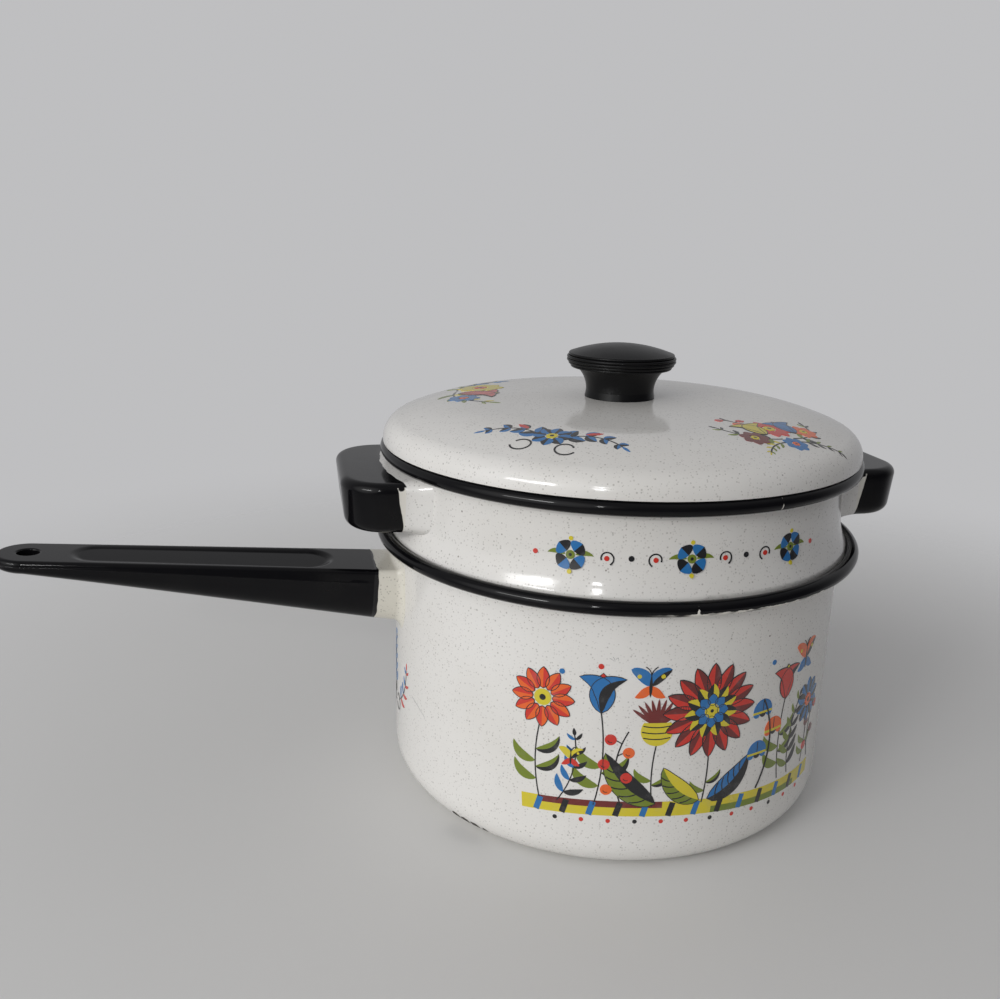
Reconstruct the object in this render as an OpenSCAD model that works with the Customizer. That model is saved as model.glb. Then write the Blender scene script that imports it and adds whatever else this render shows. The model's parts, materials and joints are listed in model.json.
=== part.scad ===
// Two-tier enamelled steel double boiler: a lower saucepan with one long
// handle, a drop-in upper pan with two side handles, and a domed lid.
// Millimetres, +Z up. The origin is the centre of the flat base, and the long
// handle points along -X.

/* [Lower pan] */
// Outer radius of the lower pan's wall
pan_r = 83.2; // [75:0.1:110]
// Height of the lower pan at the centre of its rolled rim
pan_h = 96.4; // [85:0.1:140]
// Outer radius of the rounded corner under the wall
pan_corner_r = 12; // [8:0.1:20]
// Thickness of the enamelled sheet
sheet_t = 1.2; // [0.8:0.1:1.6]
// How far the rolled rim stands outside the wall
rim_step = 6.8; // [6:0.1:9]
// Height of the flare between the straight wall and the rim
flare_h = 8; // [6:0.1:12]
// Radius of the rolled rims' cross section
bead_r = 2.4; // [2:0.1:2.8]
// Thickness of the sheet that is rolled into the rims
bead_t = 1; // [0.6:0.1:1.4]

/* [Upper pan] */
// How far the upper pan's visible wall lies inside the lower pan's wall
insert_inset = 0.7; // [0:0.1:2]
// Height of the upper pan's rim above the lower pan's rim
insert_rise = 30.9; // [28:0.1:60]
// How far the upper rim stands outside the upper pan's wall
insert_rim_step = 6; // [5.4:0.1:8]
// Height of the flare under the upper rim
lip_h = 5; // [3:0.1:8]
// Depth of the upper pan below the lower pan's rim
insert_drop = 68; // [30:0.5:78]
// Width of the water space between the two pans' walls
water_gap = 3.5; // [2.5:0.1:8]
// Radius of the upper pan's lower corner
insert_corner_r = 12; // [8:0.1:20]
// Radius of the rounded shoulder that rests on the lower rim
shoulder_r = 2.2; // [1.9:0.1:2.6]
// How far the centre of the shoulder's round lies outside the visible wall
shoulder_out = 0.65; // [0.3:0.05:1.2]
// Height from the shoulder to the end of the flare above it
shoulder_flare_h = 11.6; // [8:0.1:16]
// Radius of the bend between the hanging wall and the shoulder
neck_bend_r = 2.6; // [2:0.1:3]
// Clearance between the shoulder and the rim it rests on
seat_gap = 0.3; // [0.2:0.05:0.4]

/* [Lid] */
// How far the lid's edge stays inside the upper rim's outside
lid_inset = 1; // [0.4:0.1:3]
// Height of the upright band at the lid's edge
lid_skirt_h = 0.6; // [0.4:0.1:3]
// Radius of the lid's rounded edge
lid_edge_r = 8.3; // [5:0.1:12]
// Turn of the rounded edge before the shoulder begins, in degrees
lid_edge_turn = 68; // [60:1:74]
// Radius of the lid's shoulder
lid_shoulder_r = 86.5; // [60:0.5:110]
// Turn at which the shoulder passes into the flat crown, in degrees
lid_crown_turn = 87; // [84:0.5:88]
// Clearance between the lid's edge and the rim it lies on
lid_seat_gap = 0.3; // [0.2:0.05:0.5]
// Clearance between the lid's inner ring and the upper pan's wall
lid_gap = 1.2; // [0.8:0.1:4]
// Depth of the ring that reaches into the mouth
lid_ring_h = 4; // [2.5:0.1:10]

/* [Knob] */
// Radius of the knob at its widest ridge
knob_r = 20; // [19:0.1:30]
// Radius of the knob's neck
knob_neck_r = 12.5; // [8:0.1:13]
// Height of the knob above the lid
knob_h = 19.6; // [16:0.1:35]
// Height of the ridged edge of the knob's disc
knob_disc_h = 5.4; // [3:0.1:6]
// Rise of the knob's crown above its ridged edge
knob_crown_h = 3.4; // [1:0.1:5]
// How far the neck flares out under the disc
knob_flare = 3.9; // [3:0.1:5]
// Radius of the threaded bush moulded into the knob
bush_r = 3.8; // [3.4:0.1:5]
// Length of the threaded bush
bush_len = 9; // [6:0.1:12]
// Radius of the screw that holds the knob
screw_r = 2.4; // [2:0.1:2.8]
// Radius of the screw's head
screw_head_r = 4.6; // [4:0.1:6]
// Length of screw inside the knob
screw_reach = 7.5; // [4:0.1:8]
// Radius of the washer under the lid
washer_r = 8; // [6.5:0.1:10]
// Thickness of the washer
washer_t = 1; // [0.6:0.1:1.6]

/* [Long handle] */
// Length of the handle from the wall to the centre of the hanging hole
handle_len = 127.1; // [90:0.5:180]
// Height of the handle's top face at the wall, below the centre of the rim
handle_drop = 10.9; // [8:0.1:20]
// Rise of the handle from root to tip, in degrees
handle_slope = 4; // [0:0.5:10]
// Width of the handle at the wall
handle_root_w = 26; // [20:0.5:30]
// Width of the handle at the hanging hole
handle_tip_w = 21.4; // [16:0.2:24]
// Depth of the handle at the wall
handle_root_h = 21; // [14:0.5:24]
// Depth of the handle at the hanging hole
handle_tip_h = 5.6; // [4.2:0.1:8]
// Radius of the handle's upper edges
handle_edge_r = 1.5; // [1.3:0.1:1.8]
// Width of the rounding under the handle's sides
under_w = 6; // [4:0.1:7]
// Share of the handle's depth that the rounding under its sides takes
under_share = 0.5; // [0.35:0.01:0.55]
// Radius of the hanging hole
hang_hole_r = 3.6; // [2.5:0.1:5]
// Thickness of the handles' sheet
handle_t = 1.2; // [0.8:0.1:1.25]
// Length of the white root between the wall and the black grip
root_len = 9; // [8:0.5:20]
// Radius of the fillet between the root and the wall
root_fillet = 2.6; // [1:0.1:4]
// Distance from the wall to the near end of the thumb recess
recess_start = 23; // [22:0.5:60]
// Distance from the hanging hole's centre to the far end of the thumb recess
recess_end = 13.3; // [8:0.5:30]
// Width of the flat border beside the thumb recess
recess_border = 2; // [1.6:0.1:4]
// Width of the recess's sloping edge
recess_soft = 3; // [1:0.1:4]
// Depth of the thumb recess at its near end
recess_d = 1.1; // [0.5:0.1:1.5]
// Depth of the thumb recess at its far end
recess_tip_d = 0.4; // [0.2:0.1:1.5]

/* [Side handles] */
// Distance from the upper pan's wall to the outside of each side handle
side_out = 21.5; // [20:0.5:36]
// Width of each side handle
side_w = 64; // [56:0.5:80]
// Height of each side handle
side_h = 17.8; // [12:0.1:18]
// Distance from the centre of the upper rim down to the top of a side handle
side_drop = 4.4; // [4:0.1:7]
// Radius of a side handle's outer corners in plan
side_corner_r = 15.5; // [13:0.1:17]
// How far a side handle's outside leans in from top to bottom
side_draft = 1; // [0:0.1:3]
// Radius of a side handle's upper outer edge
side_top_r = 3; // [2:0.1:4]
// Radius of a side handle's lower outer edge
side_bottom_r = 4; // [2:0.1:5]
// Distance from the upper pan's wall to the end of the white roots
side_root_len = 6.5; // [3:0.1:8]
// How far the white roots spread sideways where they meet the wall
side_fillet = 4; // [1:0.1:5]
// How far the white roots rise where they meet the wall
side_fillet_up = 2; // [0.5:0.1:3]
// How far the white roots reach down where they meet the wall
side_fillet_down = 1; // [0.3:0.1:3]

/* [Hidden] */
fine = 96;
crown_fine = 720;
small_fine = 32;
past = 1;
overlap = 0.5;

// Lower pan: the rim's centre, and the arc of the flare that runs up to it
pan_bead_cx = pan_r + rim_step - bead_r;
pan_flare_w = rim_step - 2 * bead_r + overlap;

// Upper pan: its wall and rim, and the shoulder that seats on the lower rim
insert_r = pan_r - insert_inset;
insert_bead_z = pan_h + insert_rise;
insert_bead_cx = insert_r + insert_rim_step - bead_r;
lip_w = insert_rim_step - 2 * bead_r + overlap;
body_r = pan_r - sheet_t - water_gap;
insert_floor_z = pan_h - insert_drop;
shoulder_cx = insert_r + shoulder_out;
seat_dist = bead_r + shoulder_r + seat_gap;
shoulder_cz = pan_h + sqrt(pow(seat_dist, 2) - pow(pan_bead_cx - shoulder_cx, 2));
shelf_z = shoulder_cz - shoulder_r;

// Flare above the shoulder: its arc touches the shoulder's round and the wall
shoulder_flare_r = (pow(shoulder_out, 2) + pow(shoulder_flare_h, 2) - pow(shoulder_r, 2))
    / (2 * (shoulder_r + shoulder_out));
shoulder_flare_a = atan2(shoulder_flare_h, shoulder_flare_r - shoulder_out);

// Lid: three tangent arcs, for the edge, the shoulder and the crown
lid_z = insert_bead_z + bead_r + lid_seat_gap;
lid_r = insert_bead_cx + bead_r - lid_inset;
edge_c = [lid_r - lid_edge_r, lid_z + lid_skirt_h];
shoulder_c = edge_c - (lid_shoulder_r - lid_edge_r) * [cos(lid_edge_turn), sin(lid_edge_turn)];
crown_reach = shoulder_c[0] / cos(lid_crown_turn);
crown_c = shoulder_c - crown_reach * [cos(lid_crown_turn), sin(lid_crown_turn)];
crown_r = lid_shoulder_r + crown_reach;
crown_x = crown_r * cos(lid_crown_turn);
edge_x = edge_c[0] + lid_edge_r * cos(lid_edge_turn);
lid_top_z = crown_c[1] + crown_r;
ring_r = insert_r - sheet_t - lid_gap;

// Knob: foot, flared neck, ridges from the lowest up, and a low crown
knob_foot_h = 2.5;
knob_foot_out = 0.4;
ridge_in = [1.4, 0.6, 0, 0, 0.6];
ridge_r = knob_disc_h / (2 * len(ridge_in));
knob_disc_z = knob_h - knob_crown_h - knob_disc_h;
knob_crown_w = knob_r - ridge_in[len(ridge_in) - 1] - ridge_r;
screw_play = 0.3;
screw_head_h = 2.4;
screw_top_z = lid_top_z - sheet_t - washer_t;
slot_w = 1.2;

// Long handle: half widths, the recess's ends, and how finely it is divided
handle_tip_r = handle_tip_w / 2;
handle_top_z = pan_h - handle_drop;
hole_margin = 6;
recess_far = handle_len - recess_end;
top_steps = 20;
under_steps = 12;
end_steps = 8;
span_steps = 4;
hole_fine = 48;
tip_turn = 88;

// Side handles
side_top_z = insert_bead_z - side_drop;
side_reach = insert_r + side_out;
side_corner = [side_reach - side_corner_r, side_w / 2 - side_corner_r];
side_split_r = insert_r + side_root_len;
side_back_x = sqrt(pow(insert_r, 2) - pow(side_w / 2, 2));
arc_steps = 6;
fillet_steps = 6;
face_steps = 12;

// Radius of an arc that starts upright and moves w sideways over a height h
function flare_radius(w, h) = (w * w + h * h) / (2 * w);

// The part of a wall of radius r that flares out by w between z and z + h,
// as a section inside the sheet's outer face by inset
module flare_section(r, w, z, h, inset, up) {
    arc_r = flare_radius(w, h);
    difference() {
        translate([0, z]) square([r + w + past, h + up]);
        translate([r + arc_r, z]) circle(r = arc_r + inset, $fn = fine);
    }
}

// The base of a pan of radius r with corner radius c, up to just past a height z
module base_section(r, c, floor_z, z, inset) {
    translate([0, floor_z + inset]) square([r - c, c]);
    translate([r - c, floor_z + c]) circle(r = c - inset, $fn = fine);
    translate([0, floor_z + c]) square([r - inset, z - floor_z - c + overlap]);
}

// The right half of a section, revolved about the pan's axis
module revolve() {
    rotate_extrude($fn = fine)
        intersection() {
            children();
            square([2 * pan_r, 2 * lid_top_z]);
        }
}

module rim_circle(cx, cz, r) {
    translate([cx, cz]) circle(r = r, $fn = small_fine);
}

// Lower pan: base, rounded corner, straight wall and the flare under the rim
module pan_section(inset, up) {
    base_section(pan_r, pan_corner_r, 0, pan_h - flare_h, inset);
    flare_section(pan_r, pan_flare_w, pan_h - flare_h, flare_h, inset, up);
}

module pan_body() {
    color("ivory")
    revolve() difference() {
        pan_section(0, 0);
        pan_section(sheet_t, past);
        rim_circle(pan_bead_cx, pan_h, bead_r);
    }
}

// A rim rolled outwards into a hollow bead
module rolled_rim(cx, cz) {
    color("black")
    rotate_extrude($fn = fine) difference() {
        rim_circle(cx, cz, bead_r);
        rim_circle(cx, cz, bead_r - bead_t);
    }
}

module pan_rim() {
    rolled_rim(pan_bead_cx, pan_h);
}

// Bend between the hanging wall and the shelf under the shoulder
module neck_section(inset) {
    difference() {
        translate([0, shelf_z - neck_bend_r]) square([body_r + neck_bend_r, neck_bend_r + inset]);
        translate([body_r + neck_bend_r, shelf_z - neck_bend_r])
            circle(r = neck_bend_r + inset, $fn = fine);
    }
}

// Round shoulder and the flare that runs from it up to the visible wall
module shoulder_section(inset) {
    join_z = shoulder_cz + (shoulder_r - inset) * sin(shoulder_flare_a);
    top_z = shoulder_cz + shoulder_flare_h;
    translate([0, shelf_z + inset]) square([shoulder_cx, 2 * (shoulder_r - inset)]);
    translate([shoulder_cx, shoulder_cz]) circle(r = shoulder_r - inset, $fn = fine);
    difference() {
        translate([0, join_z]) square([shoulder_cx + shoulder_r, top_z - join_z]);
        translate([insert_r + shoulder_flare_r, top_z])
            circle(r = shoulder_flare_r + inset, $fn = fine);
    }
}

// Upper pan: hanging body, shoulder, visible wall and the flare under its rim
module insert_section(inset, up) {
    base_section(body_r, insert_corner_r, insert_floor_z, shelf_z - neck_bend_r, inset);
    neck_section(inset);
    shoulder_section(inset);
    translate([0, shoulder_cz + shoulder_flare_h - overlap])
        square([insert_r - inset, insert_bead_z - lip_h - shoulder_cz - shoulder_flare_h + 2 * overlap]);
    flare_section(insert_r, lip_w, insert_bead_z - lip_h, lip_h, inset, up);
}

module insert_body() {
    color("ivory")
    revolve() difference() {
        insert_section(0, 0);
        insert_section(sheet_t, past);
        rim_circle(insert_bead_cx, insert_bead_z, bead_r);
    }
}

module insert_rim() {
    rolled_rim(insert_bead_cx, insert_bead_z);
}

// Lid: skirt, rounded edge, shoulder and crown, from a depth below its edge
module lid_section(inset, down) {
    intersection() {
        union() {
            translate([0, lid_z - down]) square([lid_r - inset, down + lid_skirt_h]);
            translate(edge_c) circle(r = lid_edge_r - inset, $fn = fine);
            intersection() {
                translate(shoulder_c) circle(r = lid_shoulder_r - inset, $fn = crown_fine);
                square([edge_x, lid_top_z]);
            }
            intersection() {
                translate(crown_c) circle(r = crown_r - inset, $fn = crown_fine);
                square([crown_x, lid_top_z + past]);
            }
        }
        translate([0, lid_z - down]) square([lid_r, lid_top_z]);
    }
}

module lid_body() {
    color("ivory")
    difference() {
        revolve() difference() {
            lid_section(0, 0);
            lid_section(sheet_t, past);
        }
        translate([0, 0, lid_z]) cylinder(r = screw_r + screw_play, h = lid_top_z, $fn = small_fine);
    }
}

// Ring under the lid that keeps it in the upper pan's mouth
module lid_ring() {
    color("ivory")
    revolve() intersection() {
        translate([ring_r - sheet_t, lid_z - lid_ring_h]) square([sheet_t, lid_top_z - lid_z]);
        lid_section(sheet_t, lid_ring_h + past);
    }
}

// Half section of the knob, from its foot at z = 0
module knob_section() {
    polygon([[0, 0], [knob_neck_r + knob_foot_out, 0], [knob_neck_r, knob_foot_h], [0, knob_foot_h]]);
    square([knob_neck_r, knob_h - knob_crown_h + overlap]);
    flare_section(knob_neck_r, knob_flare, knob_foot_h, knob_disc_z - knob_foot_h, 0, 0);
    for (i = [0:len(ridge_in) - 1])
        translate([0, knob_disc_z + 2 * i * ridge_r]) {
            square([knob_r - ridge_in[i] - ridge_r, 2 * ridge_r]);
            translate([knob_r - ridge_in[i] - ridge_r, ridge_r]) circle(r = ridge_r, $fn = small_fine);
        }
    crown_ball = flare_radius(knob_crown_h, knob_crown_w);
    intersection() {
        translate([0, knob_h - crown_ball]) circle(r = crown_ball, $fn = crown_fine);
        translate([0, knob_h - knob_crown_h]) square([knob_crown_w, knob_crown_h]);
    }
}

module knob() {
    color("black")
    difference() {
        translate([0, 0, lid_top_z]) rotate_extrude($fn = fine)
            intersection() {
                knob_section();
                square([knob_r, knob_h]);
            }
        translate([0, 0, lid_top_z - past]) cylinder(r = bush_r, h = bush_len + past, $fn = small_fine);
    }
}

module knob_bush() {
    color("goldenrod")
    translate([0, 0, lid_top_z])
    difference() {
        cylinder(r = bush_r, h = bush_len, $fn = small_fine);
        translate([0, 0, -past]) cylinder(r = screw_r, h = screw_reach + past, $fn = small_fine);
    }
}

module knob_screw() {
    color("silver")
    difference() {
        union() {
            translate([0, 0, screw_top_z - screw_head_h])
                cylinder(r = screw_head_r, h = screw_head_h, $fn = small_fine);
            translate([0, 0, screw_top_z - past])
                cylinder(r = screw_r, h = washer_t + sheet_t + screw_reach + past, $fn = small_fine);
        }
        translate([-screw_head_r - past, -slot_w / 2, screw_top_z - screw_head_h - past])
            cube([2 * (screw_head_r + past), slot_w, screw_head_h / 2 + past]);
    }
}

module knob_washer() {
    color("silver")
    translate([0, 0, screw_top_z])
    difference() {
        cylinder(r = washer_r, h = washer_t, $fn = fine);
        translate([0, 0, -past]) cylinder(r = screw_r, h = washer_t + 2 * past, $fn = small_fine);
    }
}

// Middle of a ring of points
function middle(ring) = [for (k = [0:2]) [for (p = ring) p[k]] * [for (p = ring) 1] / len(ring)];

// A closed skin over rings of points, which all go round the same way
module skin(rings) {
    n = len(rings[0]);
    last = (len(rings) - 1) * n;
    points = concat([for (r = rings) each r], [middle(rings[0]), middle(rings[len(rings) - 1])]);
    polyhedron(points = points, faces = concat(
        [for (i = [0:n:last - n], j = [0:n - 1]) [i + j, i + n + (j + 1) % n, i + (j + 1) % n]],
        [for (i = [0:n:last - n], j = [0:n - 1]) [i + j, i + n + j, i + n + (j + 1) % n]],
        [for (j = [0:n - 1]) [last + n, j, (j + 1) % n]],
        [for (j = [0:n - 1]) [last + n + 1, last + (j + 1) % n, last + j]]));
}

// A closed hollow skin over rings of points, the last of which meets the first
module hollow_skin(rings) {
    n = len(rings[0]);
    all = len(rings) * n;
    polyhedron(points = [for (r = rings) each r], faces = concat(
        [for (i = [0:n:all - n], j = [0:n - 1]) [i + j, (i + n) % all + (j + 1) % n, i + (j + 1) % n]],
        [for (i = [0:n:all - n], j = [0:n - 1]) [i + j, (i + n) % all + j, (i + n) % all + (j + 1) % n]]));
}

// Drop of a rounded edge of width w and height h at a distance q inside it
function edge_drop(q, w, h) = q >= w ? 0 : h - h * sqrt(max(0, 1 - pow((w - q) / w, 2)));

// A smooth step from 0 to 1
function smooth(x) = let (c = min(max(x, 0), 1)) c * c * (3 - 2 * c);

// Half width and depth of the long handle at a distance d from the wall
function handle_share(d) = min(d, handle_len) / handle_len;
function handle_half_w(d) =
    let (straight = (handle_root_w + (handle_tip_w - handle_root_w) * handle_share(d)) / 2)
    d <= handle_len ? straight : sqrt(max(0, pow(handle_tip_r, 2) - pow(d - handle_len, 2)));
function handle_h(d) = handle_root_h + (handle_tip_h - handle_root_h) * handle_share(d);

// Distance of a point of the top face from the handle's outline
function outline_gap(d, y) =
    d <= handle_len ? handle_half_w(d) - abs(y) : handle_tip_r - norm([d - handle_len, y]);

function edge_gap(d, y, inset) = max(outline_gap(d, y) - inset, 0);

// Depth of the thumb recess: a long dish with round ends and a soft edge
function recess_half_w(d) = handle_half_w(d) - recess_border;
function recess_gap(d, y) =
    let (near_r = recess_half_w(recess_start), far_r = recess_half_w(recess_far),
         near = recess_start + near_r - d, far = d - recess_far + far_r)
    near > 0 ? near_r - norm([near, y]) : far > 0 ? far_r - norm([far, y]) : recess_half_w(d) - abs(y);
function recess(d, y) =
    let (share = min(max((d - recess_start) / (recess_far - recess_start), 0), 1))
    (recess_d + (recess_tip_d - recess_d) * share) * smooth(recess_gap(d, y) / recess_soft);

// One ring of the handle at a distance d, with its sheet inside by inset and
// spread by grow; follow is how much of the wall's curve the ring takes on
function handle_ring(d, inset, grow, follow) =
    let (w = handle_half_w(d) - inset, h = handle_h(d), e = handle_edge_r - inset,
         uw = under_w - inset, uh = h * under_share - inset,
         spread = (w + grow) / w, lift = (h / 2 + grow) / (h / 2),
         top = [for (i = [0:top_steps]) let (y = -w * cos(180 * i / top_steps))
                [y, -inset - edge_drop(edge_gap(d, y, inset), e, e) - recess(d, y)]],
         under = [for (i = [0:under_steps]) let (y = w * cos(180 * i / under_steps))
                [y, inset - h + edge_drop(edge_gap(d, y, inset), uw, uh)]])
    [for (p = concat(top, under))
        let (y = p[0] * spread, z = (p[1] + h / 2) * lift - h / 2,
             sag = pan_r - sqrt(pow(pan_r, 2) - y * y), back = sag - z * sin(handle_slope))
        [follow * back / cos(handle_slope) - d, y, z]];

// Places on the handle where its rings stand
grip_stations = concat(
    [root_len],
    [for (i = [0:end_steps]) recess_start + recess_half_w(recess_start) * (1 - cos(90 * i / end_steps))],
    [for (i = [1:span_steps - 1]) recess_start + (recess_far - recess_start) * i / span_steps],
    [for (i = [0:end_steps]) recess_far - recess_half_w(recess_far) * (1 - sin(90 * i / end_steps))],
    [for (i = [0:end_steps]) handle_len + handle_tip_r * sin(tip_turn * i / end_steps)]
);

module on_handle() {
    translate([-pan_r, 0, handle_top_z]) rotate([0, handle_slope, 0]) children();
}

// Long handle: a hollow tapered grip with a thumb recess and a round, flat tip
module long_handle() {
    cavity_end = handle_len - hang_hole_r - hole_margin;
    cavity_stations = [for (d = grip_stations) if (d > root_len && d < cavity_end) d];
    color("black")
    on_handle() difference() {
        skin([for (d = grip_stations) handle_ring(d, 0, 0, 0)]);
        skin([for (d = concat([root_len - past], cavity_stations, [cavity_end]))
            handle_ring(d, handle_t, 0, 0)]);
        translate([-handle_len, 0, -handle_root_h])
            cylinder(r = hang_hole_r, h = 2 * handle_root_h, $fn = hole_fine);
    }
}

// Root of the long handle: it flares into a fillet where it meets the wall
module long_handle_root() {
    color("ivory")
    on_handle() difference() {
        skin(concat(
            [for (i = [0:fillet_steps]) let (a = 90 * i / fillet_steps)
                handle_ring(root_fillet * (1 - cos(a)), 0, root_fillet * (1 - sin(a)), 1)],
            [handle_ring(root_len, 0, 0, 0)]));
        skin([handle_ring(-past, handle_t, 0, 1), handle_ring(root_len + past, handle_t, 0, 0)]);
    }
}

// Rounds of a side handle's outer edge, from the corners' axis outwards, as
// centre and radius: the lower one stands back by the draft
side_rounds = [
    [side_corner_r - side_draft - side_bottom_r, side_bottom_r, side_bottom_r],
    [side_corner_r - side_top_r, side_h - side_top_r, side_top_r]
];

// Direction of the outward normal of the flank that touches both rounds
side_lean = let (d = side_rounds[1] - side_rounds[0])
    atan2(d[1], d[0]) - 90 + asin(-d[2] / norm([d[0], d[1]]));

// Outer edge of a side handle's section inside its face by inset, from the
// underside round to the top
function side_edge(inset) = [for (i = [0, 1], s = [0:arc_steps])
    let (c = side_rounds[i], a = i == 0 ? -90 + (side_lean + 90) * s / arc_steps
                                        : side_lean + (90 - side_lean) * s / arc_steps)
    [c[0] + (c[2] - inset) * cos(a), c[1] + (c[2] - inset) * sin(a)]];

// Section of a side handle that reaches back by w behind the corners' axis
module side_section(inset, w) {
    polygon(concat([[-w, inset]], side_edge(inset), [[-w, side_h - inset]]));
}

// Half of a side handle: straight flank, rounded corner and half of the front
module side_half(inset, back) {
    translate([back, side_corner[1], 0]) rotate([90, 0, 90])
        linear_extrude(side_corner[0] - back) side_section(inset, side_corner[1] + overlap);
    translate([side_corner[0], side_corner[1], 0])
        rotate_extrude(angle = 90, $fn = fine) side_section(inset, 0);
    translate([side_corner[0], side_corner[1], 0]) rotate([90, 0, 0])
        linear_extrude(side_corner[1] + overlap) side_section(inset, overlap);
}

module side_block(inset, back) {
    side_half(inset, back);
    mirror([0, 1, 0]) side_half(inset, back);
}

// Side handle: a hollow block that ends where its white root begins
module side_handle() {
    color("black")
    translate([0, 0, side_top_z - side_h]) difference() {
        side_block(0, side_back_x);
        side_block(handle_t, side_back_x - past);
        translate([0, 0, -past]) cylinder(r = side_split_r, h = side_h + 2 * past, $fn = 2 * fine);
    }
}

module side_handle_left() {
    mirror([1, 0, 0]) side_handle();
}

module side_handle_right() {
    side_handle();
}

// Outline of a side handle's back inside its face by inset: both edges, joined
// by points along the top and the underside that can follow the wall
function side_back(inset) =
    let (edge = side_edge(inset), top = edge[len(edge) - 1], foot = edge[0])
    concat(
        [for (p = edge) [side_corner[1] + p[0], p[1]]],
        [for (i = [1:face_steps - 1]) [(side_corner[1] + top[0]) * (1 - 2 * i / face_steps), top[1]]],
        [for (i = [len(edge) - 1:-1:0]) [-side_corner[1] - edge[i][0], edge[i][1]]],
        [for (i = [1:face_steps - 1]) [(side_corner[1] + foot[0]) * (2 * i / face_steps - 1), foot[1]]]);

// One ring of a side handle's root inside its face by inset, where the fillet's
// arc has turned by a: from 0 at the wall to 90 where the grip begins
function root_ring(a, inset) = [for (p = side_back(inset))
    let (r = insert_r + side_root_len * (1 - cos(a)), spread = 1 - sin(a), up = p[1] / side_h,
         y = p[0] * (1 + spread * side_fillet / (side_w / 2)),
         z = p[1] + spread * (up * side_fillet_up - (1 - up) * side_fillet_down))
    [sqrt(r * r - y * y), y, z]];

// White root of one side handle: hollow, and spread into the wall by a fillet
module side_roots() {
    color("ivory")
    translate([0, 0, side_top_z - side_h])
        hollow_skin(concat(
            [for (i = [0:fillet_steps]) root_ring(90 * i / fillet_steps, 0)],
            [for (i = [fillet_steps:-1:0]) root_ring(90 * i / fillet_steps, handle_t)]));
}

module side_roots_left() {
    mirror([1, 0, 0]) side_roots();
}

module side_roots_right() {
    side_roots();
}

pan_body();
pan_rim();
long_handle();
long_handle_root();
insert_body();
insert_rim();
side_handle_left();
side_handle_right();
side_roots_left();
side_roots_right();
lid_body();
lid_ring();
knob();
knob_bush();
knob_screw();
knob_washer();
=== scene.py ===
"""Looks of an enamelled steel double boiler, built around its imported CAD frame.

Two stacked white pans with black rolled rims, a long black handle, two side
handles and a domed lid with a black knob, printed with a garden of flowers.
Sizes are in millimetres, in the frame of the CAD: +Z up, the long handle along
-X and the base at z = 0. Meshes are turned into metres when they are made.
"""
import json
import logging
import math
from dataclasses import dataclass, field
from enum import Enum
from typing import Any, Callable, Optional, Sequence, Union

import bmesh
import bpy
import numpy as np
from mathutils import Matrix, Vector


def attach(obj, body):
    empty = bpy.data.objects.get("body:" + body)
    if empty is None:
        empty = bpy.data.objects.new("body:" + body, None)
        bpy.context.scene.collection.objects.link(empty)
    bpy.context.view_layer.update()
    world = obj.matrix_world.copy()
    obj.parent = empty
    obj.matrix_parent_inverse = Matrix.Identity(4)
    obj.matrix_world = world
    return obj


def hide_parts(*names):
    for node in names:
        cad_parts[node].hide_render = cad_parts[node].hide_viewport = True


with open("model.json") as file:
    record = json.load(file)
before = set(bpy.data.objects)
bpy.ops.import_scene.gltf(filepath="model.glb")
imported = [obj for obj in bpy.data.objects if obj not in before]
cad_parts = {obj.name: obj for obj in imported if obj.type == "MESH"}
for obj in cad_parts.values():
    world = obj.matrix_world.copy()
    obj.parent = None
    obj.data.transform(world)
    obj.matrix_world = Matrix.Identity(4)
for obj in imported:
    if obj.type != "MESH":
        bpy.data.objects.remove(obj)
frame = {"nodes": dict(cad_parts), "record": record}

LOG = logging.getLogger("double_boiler")
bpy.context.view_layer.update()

# Metres in a millimetre, and the distance in metres within which points merge
MM = 0.001
MERGE = 2e-6
# Width of the photograph in pixels, which the focal length refers to
IMAGE_W = 1000
# Half the width of the line between black and white enamel, in millimetres
SOFT = 0.1
# Index of refraction of enamel, ink and resin
GLASS_IOR = 1.5

Colour = tuple[float, float, float]
Points = np.ndarray
Spot = Sequence[float]
# Colour of the black enamel
JET: Colour = (0.0035, 0.0034, 0.0042)


class Slot(Enum):
    """The record's material slots."""

    WHITE = "white_enamel"
    BLACK = "black_enamel"
    KNOB = "black_phenolic"
    STEEL = "plated_steel"
    BRASS = "brass"


class Ink(Enum):
    """Colours of the fired prints, as linear red, green and blue."""

    BLACK = (0.012, 0.012, 0.014)
    GREEN = (0.17, 0.225, 0.02)
    BLUE = (0.02, 0.16, 0.42)
    RED = (0.60, 0.035, 0.022)
    ORANGE = (0.78, 0.13, 0.02)
    MAROON = (0.16, 0.022, 0.02)
    YELLOW = (0.66, 0.55, 0.03)
    GREY = (0.30, 0.30, 0.31)


@dataclass(frozen=True)
class Patches:
    """Soft patches on a surface, cut out of smooth noise.

    Attributes:
        scale: Lumps of the noise to the metre.
        detail: How much finer noise it holds.
        low: Noise where the patches begin.
        high: Noise where they are full.
    """

    scale: float
    detail: float
    low: float
    high: float


@dataclass(frozen=True)
class Relief:
    """Slight bumps on a surface.

    Attributes:
        scale: Bumps to the metre.
        detail: How much finer noise they hold.
        strength: Strength of the bumps.
        height: Their height, in metres.
    """

    scale: float
    detail: float
    strength: float
    height: float


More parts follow.
